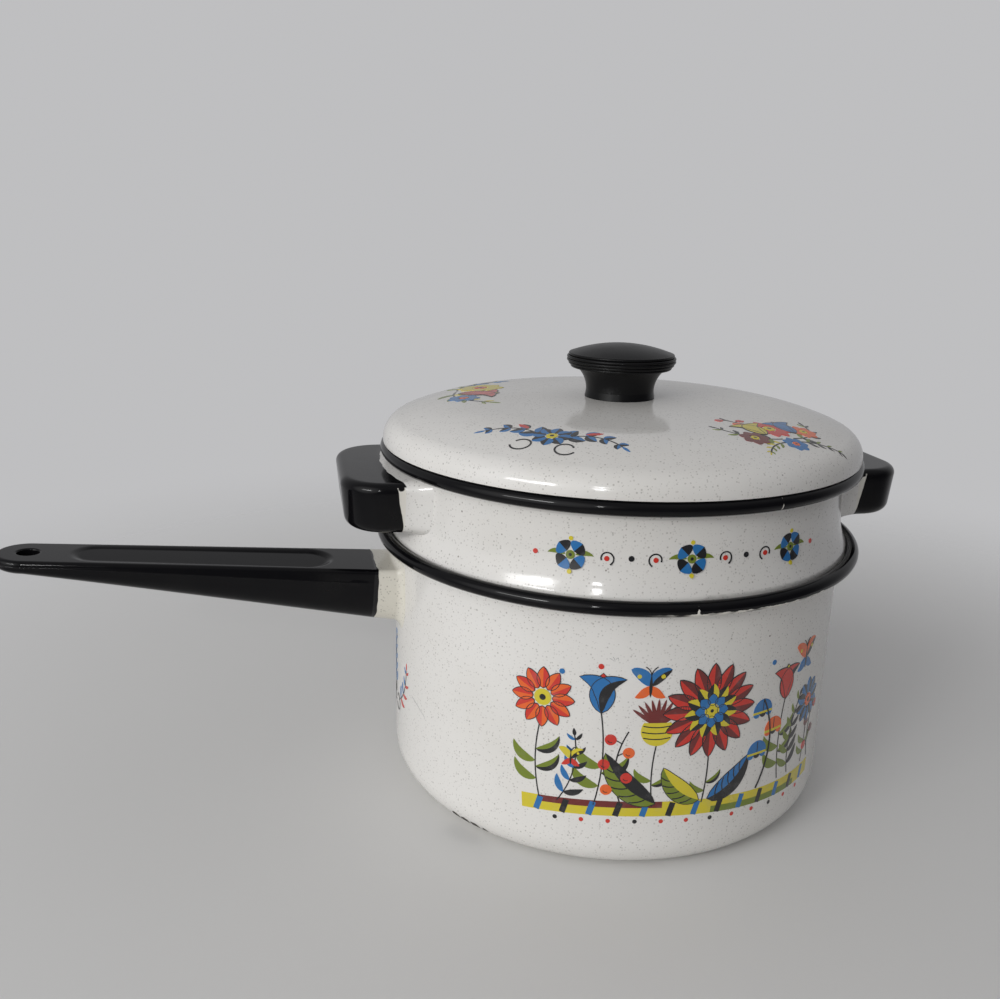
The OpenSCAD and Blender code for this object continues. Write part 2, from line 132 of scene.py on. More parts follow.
class Tree:
    """The node tree of a material or the world, with one method that adds any node."""

    def __init__(self, owner: Any) -> None:
        """Empty the node tree of a material or of the world.

        Args:
            owner: The material or world.
        """
        self.owner = owner
        owner.use_nodes = True
        self.nodes = owner.node_tree.nodes
        self.links = owner.node_tree.links
        self.nodes.clear()

    def add(self, kind: str, settings: Optional[dict[str, Any]] = None, **inputs: Any) -> Any:
        """Add a node, set its settings first and then its sockets.

        Args:
            kind: The node's type, without the ShaderNode prefix.
            settings: Attributes of the node, such as an operation.
            inputs: Values or Wires for its sockets, by name with _ for a space,
                or by number as i0, i1 and so on.

        Returns:
            The new node.
        """
        node = self.nodes.new("ShaderNode" + kind)
        for key, value in (settings or {}).items():
            setattr(node, key, value)
        for key, value in inputs.items():
            socket = node.inputs[int(key[1:])] if key[0] == "i" and key[1:].isdigit() else (
                node.inputs[key.replace("_", " ")])
            if isinstance(value, Wire):
                self.links.new(value.socket, socket)
            else:
                socket.default_value = value
        return node

    def wire(self, node: Any, output: Union[str, int] = 0) -> "Wire":
        """Wrap one of a node's outputs as a Wire."""
        return Wire(self, node.outputs[output])

    def place(self) -> "Wire":
        """The point on the object, in its own coordinates."""
        return self.wire(self.add("TexCoord"), "Object")

    def axes(self, place: "Wire") -> tuple["Wire", "Wire", "Wire"]:
        """Split a point into its three coordinates, in millimetres."""
        split = self.add("SeparateXYZ", Vector=place)
        return tuple(self.wire(split, axis) * (1 / MM) for axis in "XYZ")

    def noise(self, place: "Wire", scale: float, detail: float = 2.0) -> "Wire":
        """Smooth noise about 0.5, with scale lumps to the metre."""
        return self.wire(self.add("TexNoise", Vector=place, Scale=scale, Detail=detail))

    def wander(self, place: "Wire", scale: float, wave: float) -> "Wire":
        """How far a line with scale waves to the metre lies off its course."""
        return (self.noise(place, scale, 1.0) - 0.5) * (4 * wave)

    def patches(self, place: "Wire", kind: Patches) -> "Wire":
        """Share of soft patches: 1 where they are full."""
        return self.noise(place, kind.scale, kind.detail).ramp(kind.low, kind.high)

    def relief(self, place: "Wire", kind: Relief) -> "Wire":
        """The normal of a surface with slight bumps."""
        bump = self.add("Bump", Strength=kind.strength, Distance=kind.height,
                        Height=self.noise(place, kind.scale, kind.detail))
        return self.wire(bump, "Normal")

    def gap(self, axes: Sequence["Wire"], centre: Sequence[float]) -> "Wire":
        """Distance of a point from a centre, in millimetres."""
        x, y, z = (axis - at for axis, at in zip(axes, centre))
        return (x * x + y * y + z * z).math("SQRT")

    def blend(self, mask: "Wire", low: Any, high: Any) -> "Wire":
        """Mix two colours by a mask.

        Args:
            mask: Share of the second colour.
            low: First colour, as a tuple or a Wire.
            high: Second colour, as a tuple or a Wire.

        Returns:
            The mixed colour.
        """
        ends = [end if isinstance(end, Wire) else (*end, 1.0) for end in (low, high)]
        node = self.add("Mix", {"data_type": "RGBA"}, Factor=mask, i6=ends[0], i7=ends[1])
        return self.wire(node, 2)

    def finish(self, surface: Any) -> Any:
        """Send a shader node to the output.

        Args:
            surface: The shader node.

        Returns:
            The Blender material.
        """
        self.add("OutputMaterial", Surface=self.wire(surface))
        return self.owner


class Wire:
    """A number on a socket, which Python's operators combine into Math nodes."""

    def __init__(self, tree: Tree, socket: Any) -> None:
        """Wrap a socket of a tree."""
        self.tree, self.socket = tree, socket

    def math(self, operation: str, *others: Any) -> "Wire":
        """Combine this number with others in one Math node.

        Args:
            operation: The Math node's operation.
            others: Numbers or Wires.

        Returns:
            The result as a Wire.
        """
        values = {f"i{n}": v for n, v in enumerate((self,) + others)}
        return self.tree.wire(self.tree.add("Math", {"operation": operation}, **values))

    def __add__(self, other: Any) -> "Wire":
        """Sum."""
        return self.math("ADD", other)

    __radd__ = __add__

    def __sub__(self, other: Any) -> "Wire":
        """Difference."""
        return self.math("SUBTRACT", other)

    def __rsub__(self, other: float) -> "Wire":
        """A number less this one."""
        return (self * -1.0) + other

    def __mul__(self, other: Any) -> "Wire":
        """Product."""
        return self.math("MULTIPLY", other)

    __rmul__ = __mul__

    def ramp(self, low: float, high: float) -> "Wire":
        """A smooth step from 0 at low to 1 at high."""
        node = self.tree.add("MapRange", {"interpolation_type": "SMOOTHSTEP"}, Value=self,
                             From_Min=low, From_Max=high)
        return self.tree.wire(node)

    def maximum(self, other: Any) -> "Wire":
        """The larger of the two."""
        return self.math("MAXIMUM", other)


@dataclass(frozen=True)
class Zone:
    """A part of a surface, found from the place on the object."""

    def mask(self, tree: Tree, place: Wire) -> Wire:
        """Share of the zone at each place.

        Args:
            tree: The material's tree.
            place: Object coordinates.

        Returns:
            The mask: 1 in the zone and 0 outside it.
        """
        raise NotImplementedError


@dataclass(frozen=True)
class HandleZone(Zone):
    """A zone of the long handle.

    Attributes:
        wall_r: Radius of the wall that the handle stands on.
        top_z: Height of the handle's top face at the wall.
        slope: Rise of the handle, in degrees.
    """

    wall_r: float = 83.2
    top_z: float = 85.5
    slope: float = 4.0

    def along(self, x: Wire, z: Wire) -> Wire:
        """Distance from the wall, along the handle."""
        turn = math.radians(self.slope)
        return (x + self.wall_r) * -math.cos(turn) + (z - self.top_z) * math.sin(turn)


@dataclass(frozen=True)
class GripLine(HandleZone):
    """The black of the long handle, past the wavy line where its white root ends.

    Attributes:
        start: Distance of the line from the wall, along the handle.
        lean: How much nearer the wall it lies, per mm towards the front.
        wave: How far the line wanders to either side.
        lumps: Its waves to the metre.
    """

    start: float = 8.2
    lean: float = 0.06
    wave: float = 0.5
    lumps: float = 150.0

    def mask(self, tree: Tree, place: Wire) -> Wire:
        """Share of black: 1 past the line."""
        x, y, z = tree.axes(place)
        line = y * self.lean + self.start
        return (self.along(x, z) + tree.wander(place, self.lumps, self.wave) - line).ramp(-SOFT, SOFT)


@dataclass(frozen=True)
class Hollow(HandleZone):
    """The floor of the thumb recess in the long handle's top, dull from use.

    Attributes:
        start: Distance from the wall to the recess's near end.
        far: Distance to its far end.
        near_half: Half width of the recess near its start.
        far_half: Half width near its far end.
        side_soft: Width of the soft edge at its sides.
        end_soft: Width of the soft edge at its ends.
        below: How far under the top face the zone reaches.
    """

    start: float = 24.0
    far: float = 112.8
    near_half: float = 9.6
    far_half: float = 8.0
    side_soft: float = 1.6
    end_soft: float = 3.0
    below: float = 4.0

    def mask(self, tree: Tree, place: Wire) -> Wire:
        """Share of dull enamel: 1 on the recess's floor."""
        x, y, z = tree.axes(place)
        along = self.along(x, z)
        narrow = (self.near_half - self.far_half) / (self.far - self.start)
        half = (along - self.start) * -narrow + self.near_half
        bulge = y * y * (0.5 / self.far_half)
        inside = (half - y.math("ABSOLUTE")).ramp(0.0, self.side_soft)
        ends = ((along - self.start - bulge).ramp(0.0, self.end_soft)
                * (self.far - along - bulge).ramp(0.0, self.end_soft))
        return inside * ends * (z - (self.top_z - self.below)).ramp(0.0, 1.0)


@dataclass(frozen=True)
class BlockLine(Zone):
    """The black of a side handle, past the line where its white root ends.

    On the top and the underside the line keeps a distance from the pan's axis.
    On the flanks it lies further out, the more the higher it is.

    Attributes:
        start: Distance of the line from the axis on the top and the underside.
        foot_z: Height of the handle's underside.
        edge_z: Height where the flank's line ends under the top face.
        lean: How much further out it lies on a flank, per mm of height.
        wave: How far the line wanders to either side.
        lumps: Its waves to the metre.
        drip: Centre of a drop of black that hangs over each flank's upper edge.
        drip_r: Radius of that drop.
        soft: Half width of the drop's edge and of the step under the top face.
    """

    start: float = 88.8
    foot_z: float = 105.1
    edge_z: float = 121.7
    lean: float = 0.17
    wave: float = 0.25
    lumps: float = 160.0
    drip: tuple[float, float, float] = (84.6, 32.6, 121.9)
    drip_r: float = 1.5
    soft: float = 0.15

    def mask(self, tree: Tree, place: Wire) -> Wire:
        """Share of black: 1 past the line and in the drops."""
        x, y, z = tree.axes(place)
        reach = (x * x + y * y).math("SQRT")
        flank = 1.0 - z.ramp(self.edge_z - self.soft, self.edge_z + self.soft)
        line = (z - self.foot_z) * flank * self.lean + self.start
        black = (reach + tree.wander(place, self.lumps, self.wave) - line).ramp(-SOFT, SOFT)
        gap = tree.gap((x.math("ABSOLUTE"), y.math("ABSOLUTE"), z), self.drip)
        return black.maximum(1.0 - gap.ramp(self.drip_r - self.soft, self.drip_r + self.soft))


@dataclass(frozen=True)
class WornRim(Zone):
    """The black of a rim, without the places where it has chipped down to white.

    Attributes:
        rim_z: Height of the rim's centre.
        rim_r: Radius of the circle that its centre runs along.
        low: Depth of the ragged band's upper edge under the rim's centre.
        start: Where the band begins, in degrees from +X.
        end: Where it ends.
        fade: Turn over which it begins and ends, in degrees.
        gaps: The patches that it is broken into.
        nicks: Places with a nick, in degrees, each with its half width in mm.
        grain: Lumps of the ragged edges to the metre.
        rough: Reach of the band's ragged edge.
        nick_rough: Reach of a nick's ragged edge, as a multiple of its half width.
        nick_ends: Heights over the rim's centre between which a nick narrows to a point.
        soft: Widths of the soft edges of the band and of a nick.
    """

    rim_z: float
    rim_r: float
    low: float = 1.75
    start: float = -102.0
    end: float = -30.0
    fade: float = 12.0
    gaps: Patches = Patches(90.0, 2.0, 0.38, 0.5)
    nicks: tuple[tuple[float, float], ...] = ()
    grain: float = 420.0
    rough: float = 1.6
    nick_rough: float = 5.0
    nick_ends: tuple[float, float] = (-0.2, 1.2)
    soft: tuple[float, float] = (0.08, 0.15)

    def mask(self, tree: Tree, place: Wire) -> Wire:
        """Share of black: 0 in the chips."""
        x, y, z = tree.axes(place)
        turn = y.math("ARCTAN2", x) * math.degrees(1.0)
        ragged = tree.noise(place, self.grain, 3.0) - 0.5
        begun = (turn - self.start).ramp(0.0, self.fade)
        over = (turn - self.end).ramp(-self.fade, 0.0)
        band = (ragged * self.rough + (self.rim_z - self.low - z)).ramp(0.0, self.soft[0])
        white = band * begun * (1.0 - over) * tree.patches(place, self.gaps)
        for azimuth, half in self.nicks:
            reach = (turn - azimuth).math("ABSOLUTE") * math.radians(self.rim_r)
            drop = (z - self.rim_z).ramp(*self.nick_ends) * half
            edge = ragged * (self.nick_rough * half) + half
            white = white.maximum((edge - reach - drop).ramp(0.0, self.soft[1]))
        return 1.0 - white


@dataclass(frozen=True)
class Specks(Zone):
    """Round specks of many sizes, one in some of the cells of a pattern.

    Attributes:
        cells: Cells to the metre.
        size: Largest radius, as a share of a cell.
        share: Share of the cells with a speck.
        strength: Strength of the darkest specks.
    """

    cells: float
    size: float
    share: float
    strength: float

    def mask(self, tree: Tree, place: Wire) -> Wire:
        """Share of the specks' colour: up to the strength in the specks."""
        cell = tree.add("TexVoronoi", Vector=place, Scale=self.cells, Randomness=1.0)
        pick = tree.add("SeparateColor", Color=tree.wire(cell, "Color"))
        here = tree.wire(pick, "Red").ramp(1.0 - self.share, 1.02 - self.share)
        radius = tree.wire(pick, "Green") * (self.size * 0.6) + self.size * 0.4
        depth = tree.wire(pick, "Blue") * (self.strength * 0.7) + self.strength * 0.3
        return (radius - tree.wire(cell, "Distance")).ramp(0.0, self.size * 0.5) * here * depth


@dataclass(frozen=True)
class Chips(Zone):
    """Ragged spots where the enamel has gone.

    Attributes:
        spots: The spots, each as a centre and a radius in mm.
        grain: Lumps of their ragged edges to the metre.
        soft: Width of their soft edges.
    """

    spots: tuple[tuple[float, float, float, float], ...]
    grain: float = 600.0
    soft: float = 0.12

    def mask(self, tree: Tree, place: Wire) -> Wire:
        """Share of bare metal: 1 in the spots."""
        axes = tree.axes(place)
        ragged = tree.noise(place, self.grain, 3.0)
        found = ragged * 0.0
        for *centre, radius in self.spots:
            edge = ragged * radius + radius * 0.5
            found = found.maximum((edge - tree.gap(axes, centre)).ramp(0.0, self.soft))
        return found


@dataclass(frozen=True)
class Finish:
    """A finish that makes its own material.

    Attributes:
        name: The material's name.
    """

    name: str

    def shader(self, tree: Tree, place: Wire) -> Any:
        """Add the nodes of the surface.

        Args:
            tree: The new material's tree.
            place: Object coordinates.

        Returns:
            The shader node.
        """
        raise NotImplementedError

    def build(self) -> Any:
        """Make the material.

        Returns:
            The Blender material.
        """
        tree = Tree(bpy.data.materials.new(self.name))
        return tree.finish(self.shader(tree, tree.place()))


@dataclass(frozen=True)
class Enamel(Finish):
    """Glossy vitreous enamel with fine specks, and black over white past a line.

    Attributes:
        line: Where black lies over the white, or None for white all over.
        white: The body colour.
        drift: The colour it drifts towards in broad patches.
        clouds: Those patches.
        black: The colour of the black enamel.
        speck: The colour of the specks.
        fine: The fine specks.
        bold: The few darker specks.
        chips: Places where the enamel has gone, or None.
        iron: The colour of the metal in them.
        iron_gloss: How much rougher the metal is.
        roughness: Gloss of the surface.
        haze: Patches where the gloss is less.
        haze_gloss: How much rougher they are.
        peel: The orange peel.
    """

    line: Optional[Zone] = None
    white: Colour = (0.785, 0.77, 0.74)
    drift: Colour = (0.74, 0.722, 0.685)
    clouds: Patches = Patches(16.0, 3.0, 0.35, 0.7)
    black: Colour = JET
    speck: Colour = (0.12, 0.09, 0.07)
    fine: Specks = Specks(1100.0, 0.46, 0.9, 0.46)
    bold: Specks = Specks(270.0, 0.12, 0.45, 0.9)
    chips: Optional[Chips] = None
    iron: Colour = (0.022, 0.016, 0.013)
    iron_gloss: float = 0.5
    roughness: float = 0.09
    haze: Patches = Patches(130.0, 5.0, 0.35, 0.75)
    haze_gloss: float = 0.06
    peel: Relief = Relief(210.0, 1.0, 0.25, 0.00014)

    def shader(self, tree: Tree, place: Wire) -> Any:
        """Add the nodes: the body, its specks, the black and the chips."""
        body = tree.blend(tree.patches(place, self.clouds), self.white, self.drift)
        specks = self.fine.mask(tree, place).maximum(self.bold.mask(tree, place))
        colour = tree.blend(specks, body, self.speck)
        gloss = tree.patches(place, self.haze) * self.haze_gloss + self.roughness
        if self.line is not None:
            colour = tree.blend(self.line.mask(tree, place), colour, self.black)
        if self.chips is not None:
            bare = self.chips.mask(tree, place)
            colour = tree.blend(bare, colour, self.iron)
            gloss = bare * self.iron_gloss + gloss
        return tree.add("BsdfPrincipled", Base_Color=colour, Roughness=gloss, IOR=GLASS_IOR,
                        Normal=tree.relief(place, self.peel))


@dataclass(frozen=True)
class Jet(Finish):
    """Deep black enamel or moulded resin, with a faint orange peel.

    Attributes:
        line: Where the black lies, or None for black all over.
        black: The colour.
        haze: The colour of its dusty patches.
        dust: Those patches.
        white: The colour of the bare or white places.
        roughness: Gloss of the surface.
        wear: Patches where the gloss is less.
        wear_gloss: How much rougher they are.
        shine: Strength of the shine, about 0.5 for glass.
        peel: The orange peel.
        hollow: Where the shine is lost, or None.
        dull: Strength of the shine there.
    """

    line: Optional[Zone] = None
    black: Colour = JET
    haze: Colour = (0.006, 0.0058, 0.0062)
    dust: Patches = Patches(60.0, 4.0, 0.45, 0.8)
    white: Colour = (0.76, 0.735, 0.67)
    roughness: float = 0.06
    wear: Patches = Patches(180.0, 4.0, 0.4, 0.8)
    wear_gloss: float = 0.05
    shine: float = 0.2
    peel: Relief = Relief(260.0, 2.0, 0.3, 0.00004)
    hollow: Optional[Zone] = None
    dull: float = 0.05

    def shader(self, tree: Tree, place: Wire) -> Any:
        """Add the nodes: the black, its white places and the dull hollow."""
        colour = tree.blend(tree.patches(place, self.dust), self.black, self.haze)
        if self.line is not None:
            colour = tree.blend(self.line.mask(tree, place), self.white, colour)
        gloss = tree.patches(place, self.wear) * self.wear_gloss + self.roughness
        look = {"Base_Color": colour, "Roughness": gloss, "IOR": GLASS_IOR,
                "Normal": tree.relief(place, self.peel)}
        surface = tree.add("BsdfPrincipled", Specular_IOR_Level=self.shine, **look)
        if self.hollow is None:
            return surface
        dull = tree.add("BsdfPrincipled", Specular_IOR_Level=self.dull, **look)
        return tree.add("MixShader", i0=self.hollow.mask(tree, place), i1=tree.wire(surface),
                        i2=tree.wire(dull))


@dataclass(frozen=True)
class Metal(Finish):
    """Bare metal of the knob's fastening, dull with small scratches.

    Attributes:
        colour: The metal's colour.
        tarnish: The colour of its dull patches.
        patches: Those patches.
        roughness: Gloss of the clean metal.
        dull_gloss: How much rougher the patches are.
        scratches: The small scratches.
    """

    colour: Colour
    tarnish: Colour
    patches: Patches = Patches(300.0, 5.0, 0.4, 0.7)
    roughness: float = 0.28
    dull_gloss: float = 0.15
    scratches: Relief = Relief(900.0, 3.0, 0.4, 0.00003)

    def shader(self, tree: Tree, place: Wire) -> Any:
        """Add the nodes: the metal and its tarnish."""
        dull = tree.patches(place, self.patches)
        return tree.add("BsdfPrincipled", Base_Color=tree.blend(dull, self.colour, self.tarnish),
                        Metallic=1.0, Roughness=dull * self.dull_gloss + self.roughness,
                        Normal=tree.relief(place, self.scratches))


@dataclass(frozen=True)
class Print(Finish):
    """Glossy fired colour of a print, slightly uneven and with pinholes.

    Attributes:
        colour: The ink.
        thin: Patches where it is thin.
        fade: Share of the ink's colour that is left in them.
        veil: White that is added there.
        roughness: Gloss of the ink.
        thin_gloss: How much rougher it is where it is thin.
    """

    colour: Colour
    thin: Patches = Patches(240.0, 4.0, 0.5, 0.85)
    fade: float = 0.8
    veil: float = 0.06
    roughness: float = 0.2
    thin_gloss: float = 0.1

    def shader(self, tree: Tree, place: Wire) -> Any:
        """Add the nodes: the ink and its thin places, under a clear coat."""
        thin = tree.patches(place, self.thin)
        pale = tuple(self.fade * part + self.veil for part in self.colour)
        return tree.add("BsdfPrincipled", Base_Color=tree.blend(thin, self.colour, pale),
                        Roughness=thin * self.thin_gloss + self.roughness, Coat_Weight=0.25,
                        Coat_Roughness=0.06, IOR=GLASS_IOR)


def quads(rows: int, cols: int) -> Points:
    """The corners of each cell of a grid whose points are numbered row by row."""
    index = np.arange(rows * cols).reshape(rows, cols)
    return np.stack([index[:-1, :-1], index[1:, :-1], index[1:, 1:], index[:-1, 1:]], -1).reshape(-1, 4)


class Shape:
    """A piece in the making: grids of points, in millimetres, that share one mesh."""

    def __init__(self, name: str) -> None:
        """Start an empty piece called name."""
        self.name = name
        self.points: list[Points] = []
        self.faces: list[Points] = []
        self.count = 0

    def grid(self, points: Points) -> None:
        """Add a two-parameter grid: each cell between neighbouring points is a quad.

        Args:
            points: Array of rows, columns and three coordinates.
        """
        rows, cols = points.shape[:2]
        self.points.append(points.reshape(-1, 3))
        self.faces.append(quads(rows, cols) + self.count)
        self.count += rows * cols

    def disc(self, ring: Points, steps: int = 6) -> None:
        """Close a ring of points with rings that shrink evenly to its middle."""
        share = np.linspace(0, 1, steps)[:, None, None]
        self.grid(ring[None] * (1 - share) + ring.mean(0)[None, None] * share)

    def piece(self, material: Any, body: str, slot: Slot, replaces: tuple[str, ...] = (),
              crease: float = 40.0) -> Any:
        """Make the object, merge its seams and poles, attach it to its body and hide the CAD nodes that it
        replaces.

        Args:
            material: Its Blender material.
            body: The body that it rides on.
            slot: The record's slot that it takes its finish from; not used.
            replaces: CAD nodes that it stands for.
            crease: Angle past which an edge stays sharp, in degrees.

        Returns:
            The object.
        """
        mesh = bpy.data.meshes.new(self.name)
        mesh.from_pydata((np.concatenate(self.points) * MM).tolist(), [],
                         np.concatenate(self.faces).tolist())
        work = bmesh.new()
        work.from_mesh(mesh)
        bmesh.ops.remove_doubles(work, verts=work.verts, dist=MERGE)
        bmesh.ops.recalc_face_normals(work, faces=work.faces)
        work.to_mesh(mesh)
        work.free()
        mesh.shade_smooth()
        mesh.set_sharp_from_angle(angle=math.radians(crease))
        mesh.materials.append(material)
        thing = bpy.data.objects.new(self.name, mesh)
        bpy.context.scene.collection.objects.link(thing)
        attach(thing, body)
        if replaces:
            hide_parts(*replaces)
        LOG.info("made %s: %d faces", self.name, len(mesh.polygons))
        return thing


def cosines(count: int) -> Points:
    """Numbers from -1 to 1 that crowd together at both ends."""
    return -np.cos(np.linspace(0, np.pi, count))


def smooth(x: Points) -> Points:
    """A smooth step from 0 to 1."""
    held = np.clip(x, 0, 1)
    return held * held * (3 - 2 * held)


def rounding(gap: Points, width: float, height: Any) -> Points:
    """Drop of an elliptical edge: height at gap 0, and none from width inwards."""
    inside = np.clip((width - gap) / width, 0, 1)
    return height * (1 - np.sqrt(1 - inside ** 2))


@dataclass
class LongHandle:
    """The long handle: a tapered grip with a thumb recess, and its white root.

    Its plan is a grid of distances d from the wall and places y across, and a
    ring of rays about the hanging hole at the tip. The same plan carries the
    top face and the underside, and a narrow upright band joins them.

    Attributes:
        wall_r: Radius of the wall that it stands on.
        top_z: Height of its top face at the wall.
        slope: Rise from root to tip, in degrees.
        length: Distance from the wall to the centre of the hole.
        root_w: Width at the wall.
        tip_w: Width at the hole.
        root_h: Depth at the wall.
        tip_h: Depth at the hole.
        edge_r: Radius of the upper edges.
        under_w: Width of the rounding under the sides.
        under_share: Share of the depth that this rounding takes.
        hole_r: Radius of the hanging hole.
        lip_r: Radius of the hole's rounded lips.
        root_len: Length of the white root.
        fillet: Radius of the fillet at the wall.
        recess_start: Where the thumb recess begins.
        recess_far: Where it ends.
        recess_border: Width of the flat border beside it.
        recess_soft: Width of its sloping edge.
        recess_d: Its depth at its near end.
        recess_tip_d: Its depth at its far end.
        seam_share: Share of the depth above the seam between the two stampings.
        seam_low: Least distance of the seam from the top face.
        seam_r: Radius of the seam's bead.
        seam_out: How far the flank leans out from the top face to the seam.
        ring_start: Where the rays about the hole take over.
        sunk: How far the root reaches into the wall.
        across: Number of columns across the handle.
        rows: Numbers of rows up to the recess, over its near end, its middle and its far end.
    """

    wall_r: float = 83.2
    top_z: float = 85.5
    slope: float = 4.0
    length: float = 127.1
    root_w: float = 26.0
    tip_w: float = 21.4
    root_h: float = 21.0
    tip_h: float = 5.6
    edge_r: float = 1.5
    under_w: float = 6.0
    under_share: float = 0.5
    hole_r: float = 3.6
    lip_r: float = 0.7
    root_len: float = 9.0
    fillet: float = 2.6
    recess_start: float = 23.0
    recess_far: float = 113.8
    recess_border: float = 2.0
    recess_soft: float = 3.0
    recess_d: float = 1.1
    recess_tip_d: float = 0.4
    seam_share: float = 0.25
    seam_low: float = 1.9
    seam_r: float = 0.3
    seam_out: float = 0.2
    ring_start: float = 117.2
    sunk: float = 0.6
    across: int = 73
    rows: tuple[int, int, int, int] = (8, 40, 40, 36)

    def half_w(self, d: Points) -> Points:
        """Half width at a distance d, up to the hole."""
        share = np.clip(d, None, self.length) / self.length
        return (self.root_w + (self.tip_w - self.root_w) * share) / 2

    def depth(self, d: Points) -> Points:
        """Depth from the top face to the underside at a distance d."""
        share = np.clip(d, 0, self.length) / self.length
        return self.root_h + (self.tip_h - self.root_h) * share

    def edge_gap(self, d: Points, y: Points) -> Points:
        """Distance inside the outline: straight flanks, and a half circle at the tip."""
        tip = self.tip_w / 2 - np.hypot(d - self.length, y)
        return np.maximum(np.where(d <= self.length, self.half_w(d) - np.abs(y), tip), 0)

    def recess(self, d: Points, y: Points) -> Points:
        """Depth of the thumb recess: a long dish with round ends and a soft edge.

        Its floor rises evenly from its near end to its far end.
        """
        half = self.half_w(d) - self.recess_border
        near_r = self.half_w(self.recess_start) - self.recess_border
        far_r = self.half_w(self.recess_far) - self.recess_border
        near = self.recess_start + near_r - d
        far = d - self.recess_far + far_r
        gap = np.where(near > 0, near_r - np.hypot(near, y),
                       np.where(far > 0, far_r - np.hypot(far, y), half - np.abs(y)))
        share = np.clip((d - self.recess_start) / (self.recess_far - self.recess_start), 0, 1)
        deep = self.recess_d + (self.recess_tip_d - self.recess_d) * share
        return deep * smooth(gap / self.recess_soft)

    def hole_gap(self, d: Points, y: Points) -> Points:
        """Distance from the edge of the hanging hole."""
        return np.maximum(np.hypot(d - self.length, y) - self.hole_r, 0)

    def top(self, d: Points, y: Points) -> Points:
        """Height of the top face: flat, less its rounded edge, the recess and the hole's lip."""
        return -(rounding(self.edge_gap(d, y), self.edge_r, self.edge_r) + self.recess(d, y)
                 + rounding(self.hole_gap(d, y), self.lip_r, self.lip_r))

    def under(self, d: Points, y: Points) -> Points:
        """Height of the underside: rounded up to the sides and to the hole's lip."""
        depth = self.depth(d)
        return (rounding(self.edge_gap(d, y), self.under_w, depth * self.under_share) - depth
                + rounding(self.hole_gap(d, y), self.lip_r, self.lip_r))

    def placed(self, d: Points, y: Points, z: Points) -> Points:
        """Turn places along, across and above the handle into points of the frame."""
        turn = math.radians(self.slope)
        return np.stack([-self.wall_r - d * math.cos(turn) + z * math.sin(turn), y,
                         self.top_z + d * math.sin(turn) + z * math.cos(turn)], -1)

    def stations(self) -> Points:
        """Distances along the grip, closer together at the recess's ends."""
        ends = (self.root_len, self.recess_start - 1, self.recess_start + self.root_w / 2,
                self.recess_far - self.half_w(self.recess_far), self.ring_start)
        spans = [np.linspace(*span) for span in zip(ends, ends[1:], self.rows)]
        return np.unique(np.concatenate(spans).round(6))

    def tip_outline(self) -> tuple[Points, Points]:
        """The cut across the handle and then its outline round the tip, as d and y."""
        cut_y = self.half_w(self.ring_start) * cosines(self.across)
        side_d = np.linspace(self.ring_start, self.length, 12)
        turn = np.linspace(np.pi / 2, -np.pi / 2, 64)[1:-1]
        d = np.concatenate([np.full(self.across, self.ring_start), side_d[1:],
                            self.length + self.tip_w / 2 * np.cos(turn), side_d[::-1]])
        y = np.concatenate([cut_y, self.half_w(side_d[1:]), self.tip_w / 2 * np.sin(turn),
                            -self.half_w(side_d[::-1])])
        return d, y

    def grip(self, shape: Shape) -> None:
        """Add the black grip: its plan's top and underside, and the band round it.

        Args:
            shape: The piece that takes the grids.
        """
        d, y = np.meshgrid(self.stations(), cosines(self.across), indexing="ij")
        y = y * self.half_w(d)
        shape.grid(self.placed(d, y, self.top(d, y)))
        shape.grid(self.placed(d, y, self.under(d, y)))
        for side in (0, -1):
            self.flank(shape, d[:, side], y[:, side], 0 * d[:, side], np.sign(y[:, side]))
        self.band(shape, d[0], y[0])
        out_d, out_y = self.tip_outline()
        ray = np.arctan2(out_y, out_d - self.length)
        in_d = self.length + self.hole_r * np.cos(ray)
        in_y = self.hole_r * np.sin(ray)
        share = ((1 + cosines(40)) / 2)[:, None]
        d = in_d * (1 - share) + out_d * share
        y = in_y * (1 - share) + out_y * share
        shape.grid(self.placed(d, y, self.top(d, y)))
        shape.grid(self.placed(d, y, self.under(d, y)))
        self.band(shape, in_d, in_y)
        out_d, out_y = out_d[self.across - 1:], out_y[self.across - 1:]
        beyond = out_d > self.length
        turn = np.where(beyond, np.arctan2(out_y, out_d - self.length), np.pi / 2 * np.sign(out_y))
        self.flank(shape, out_d, out_y, np.cos(turn), np.sin(turn))

    def band(self, shape: Shape, d: Points, y: Points) -> None:
        """Join the top face to the underside along a line, with upright rows."""
        share = np.linspace(0, 1, 5)[:, None]
        z = self.top(d, y) * (1 - share) + self.under(d, y) * share
        shape.grid(self.placed(d + 0 * z, y + 0 * z, z))

    def flank(self, shape: Shape, d: Points, y: Points, out_d: Points, out_y: Points) -> None:
        """Join the top face to the underside by a flank with the seam's bead on it.

        The flank leans out from the top face down to the seam and in again below
        it. The bead is half a circle that stands on it, and it dies away at the root.

        Args:
            shape: The piece that takes the grid.
            d: Distances of the outline's points along the handle.
            y: Their places across it.
            out_d: First part of the outline's outward normal.
            out_y: Second part of it.
        """
        high, low = self.top(d, y)[:, None], self.under(d, y)[:, None]
        seam = -np.maximum(self.seam_share * self.depth(d), self.seam_low)[:, None]
        turn = np.linspace(np.pi / 2, -np.pi / 2, 9)[None, :]
        share = np.linspace(0, 1, 4)[None, :-1]
        grow = smooth((d - self.root_len) / self.root_w)[:, None]
        z = np.concatenate([high + (seam + self.seam_r - high) * share,
                            seam + self.seam_r * np.sin(turn),
                            low + (seam - self.seam_r - low) * share[:, ::-1]], 1)
        out = grow * np.concatenate([self.seam_out * share + 0 * high,
                                     self.seam_out + self.seam_r * np.cos(turn) + 0 * high,
                                     self.seam_out * share[:, ::-1] + 0 * high], 1)
        shape.grid(self.placed(d[:, None] + out * out_d[:, None], y[:, None] + out * out_y[:, None], z))

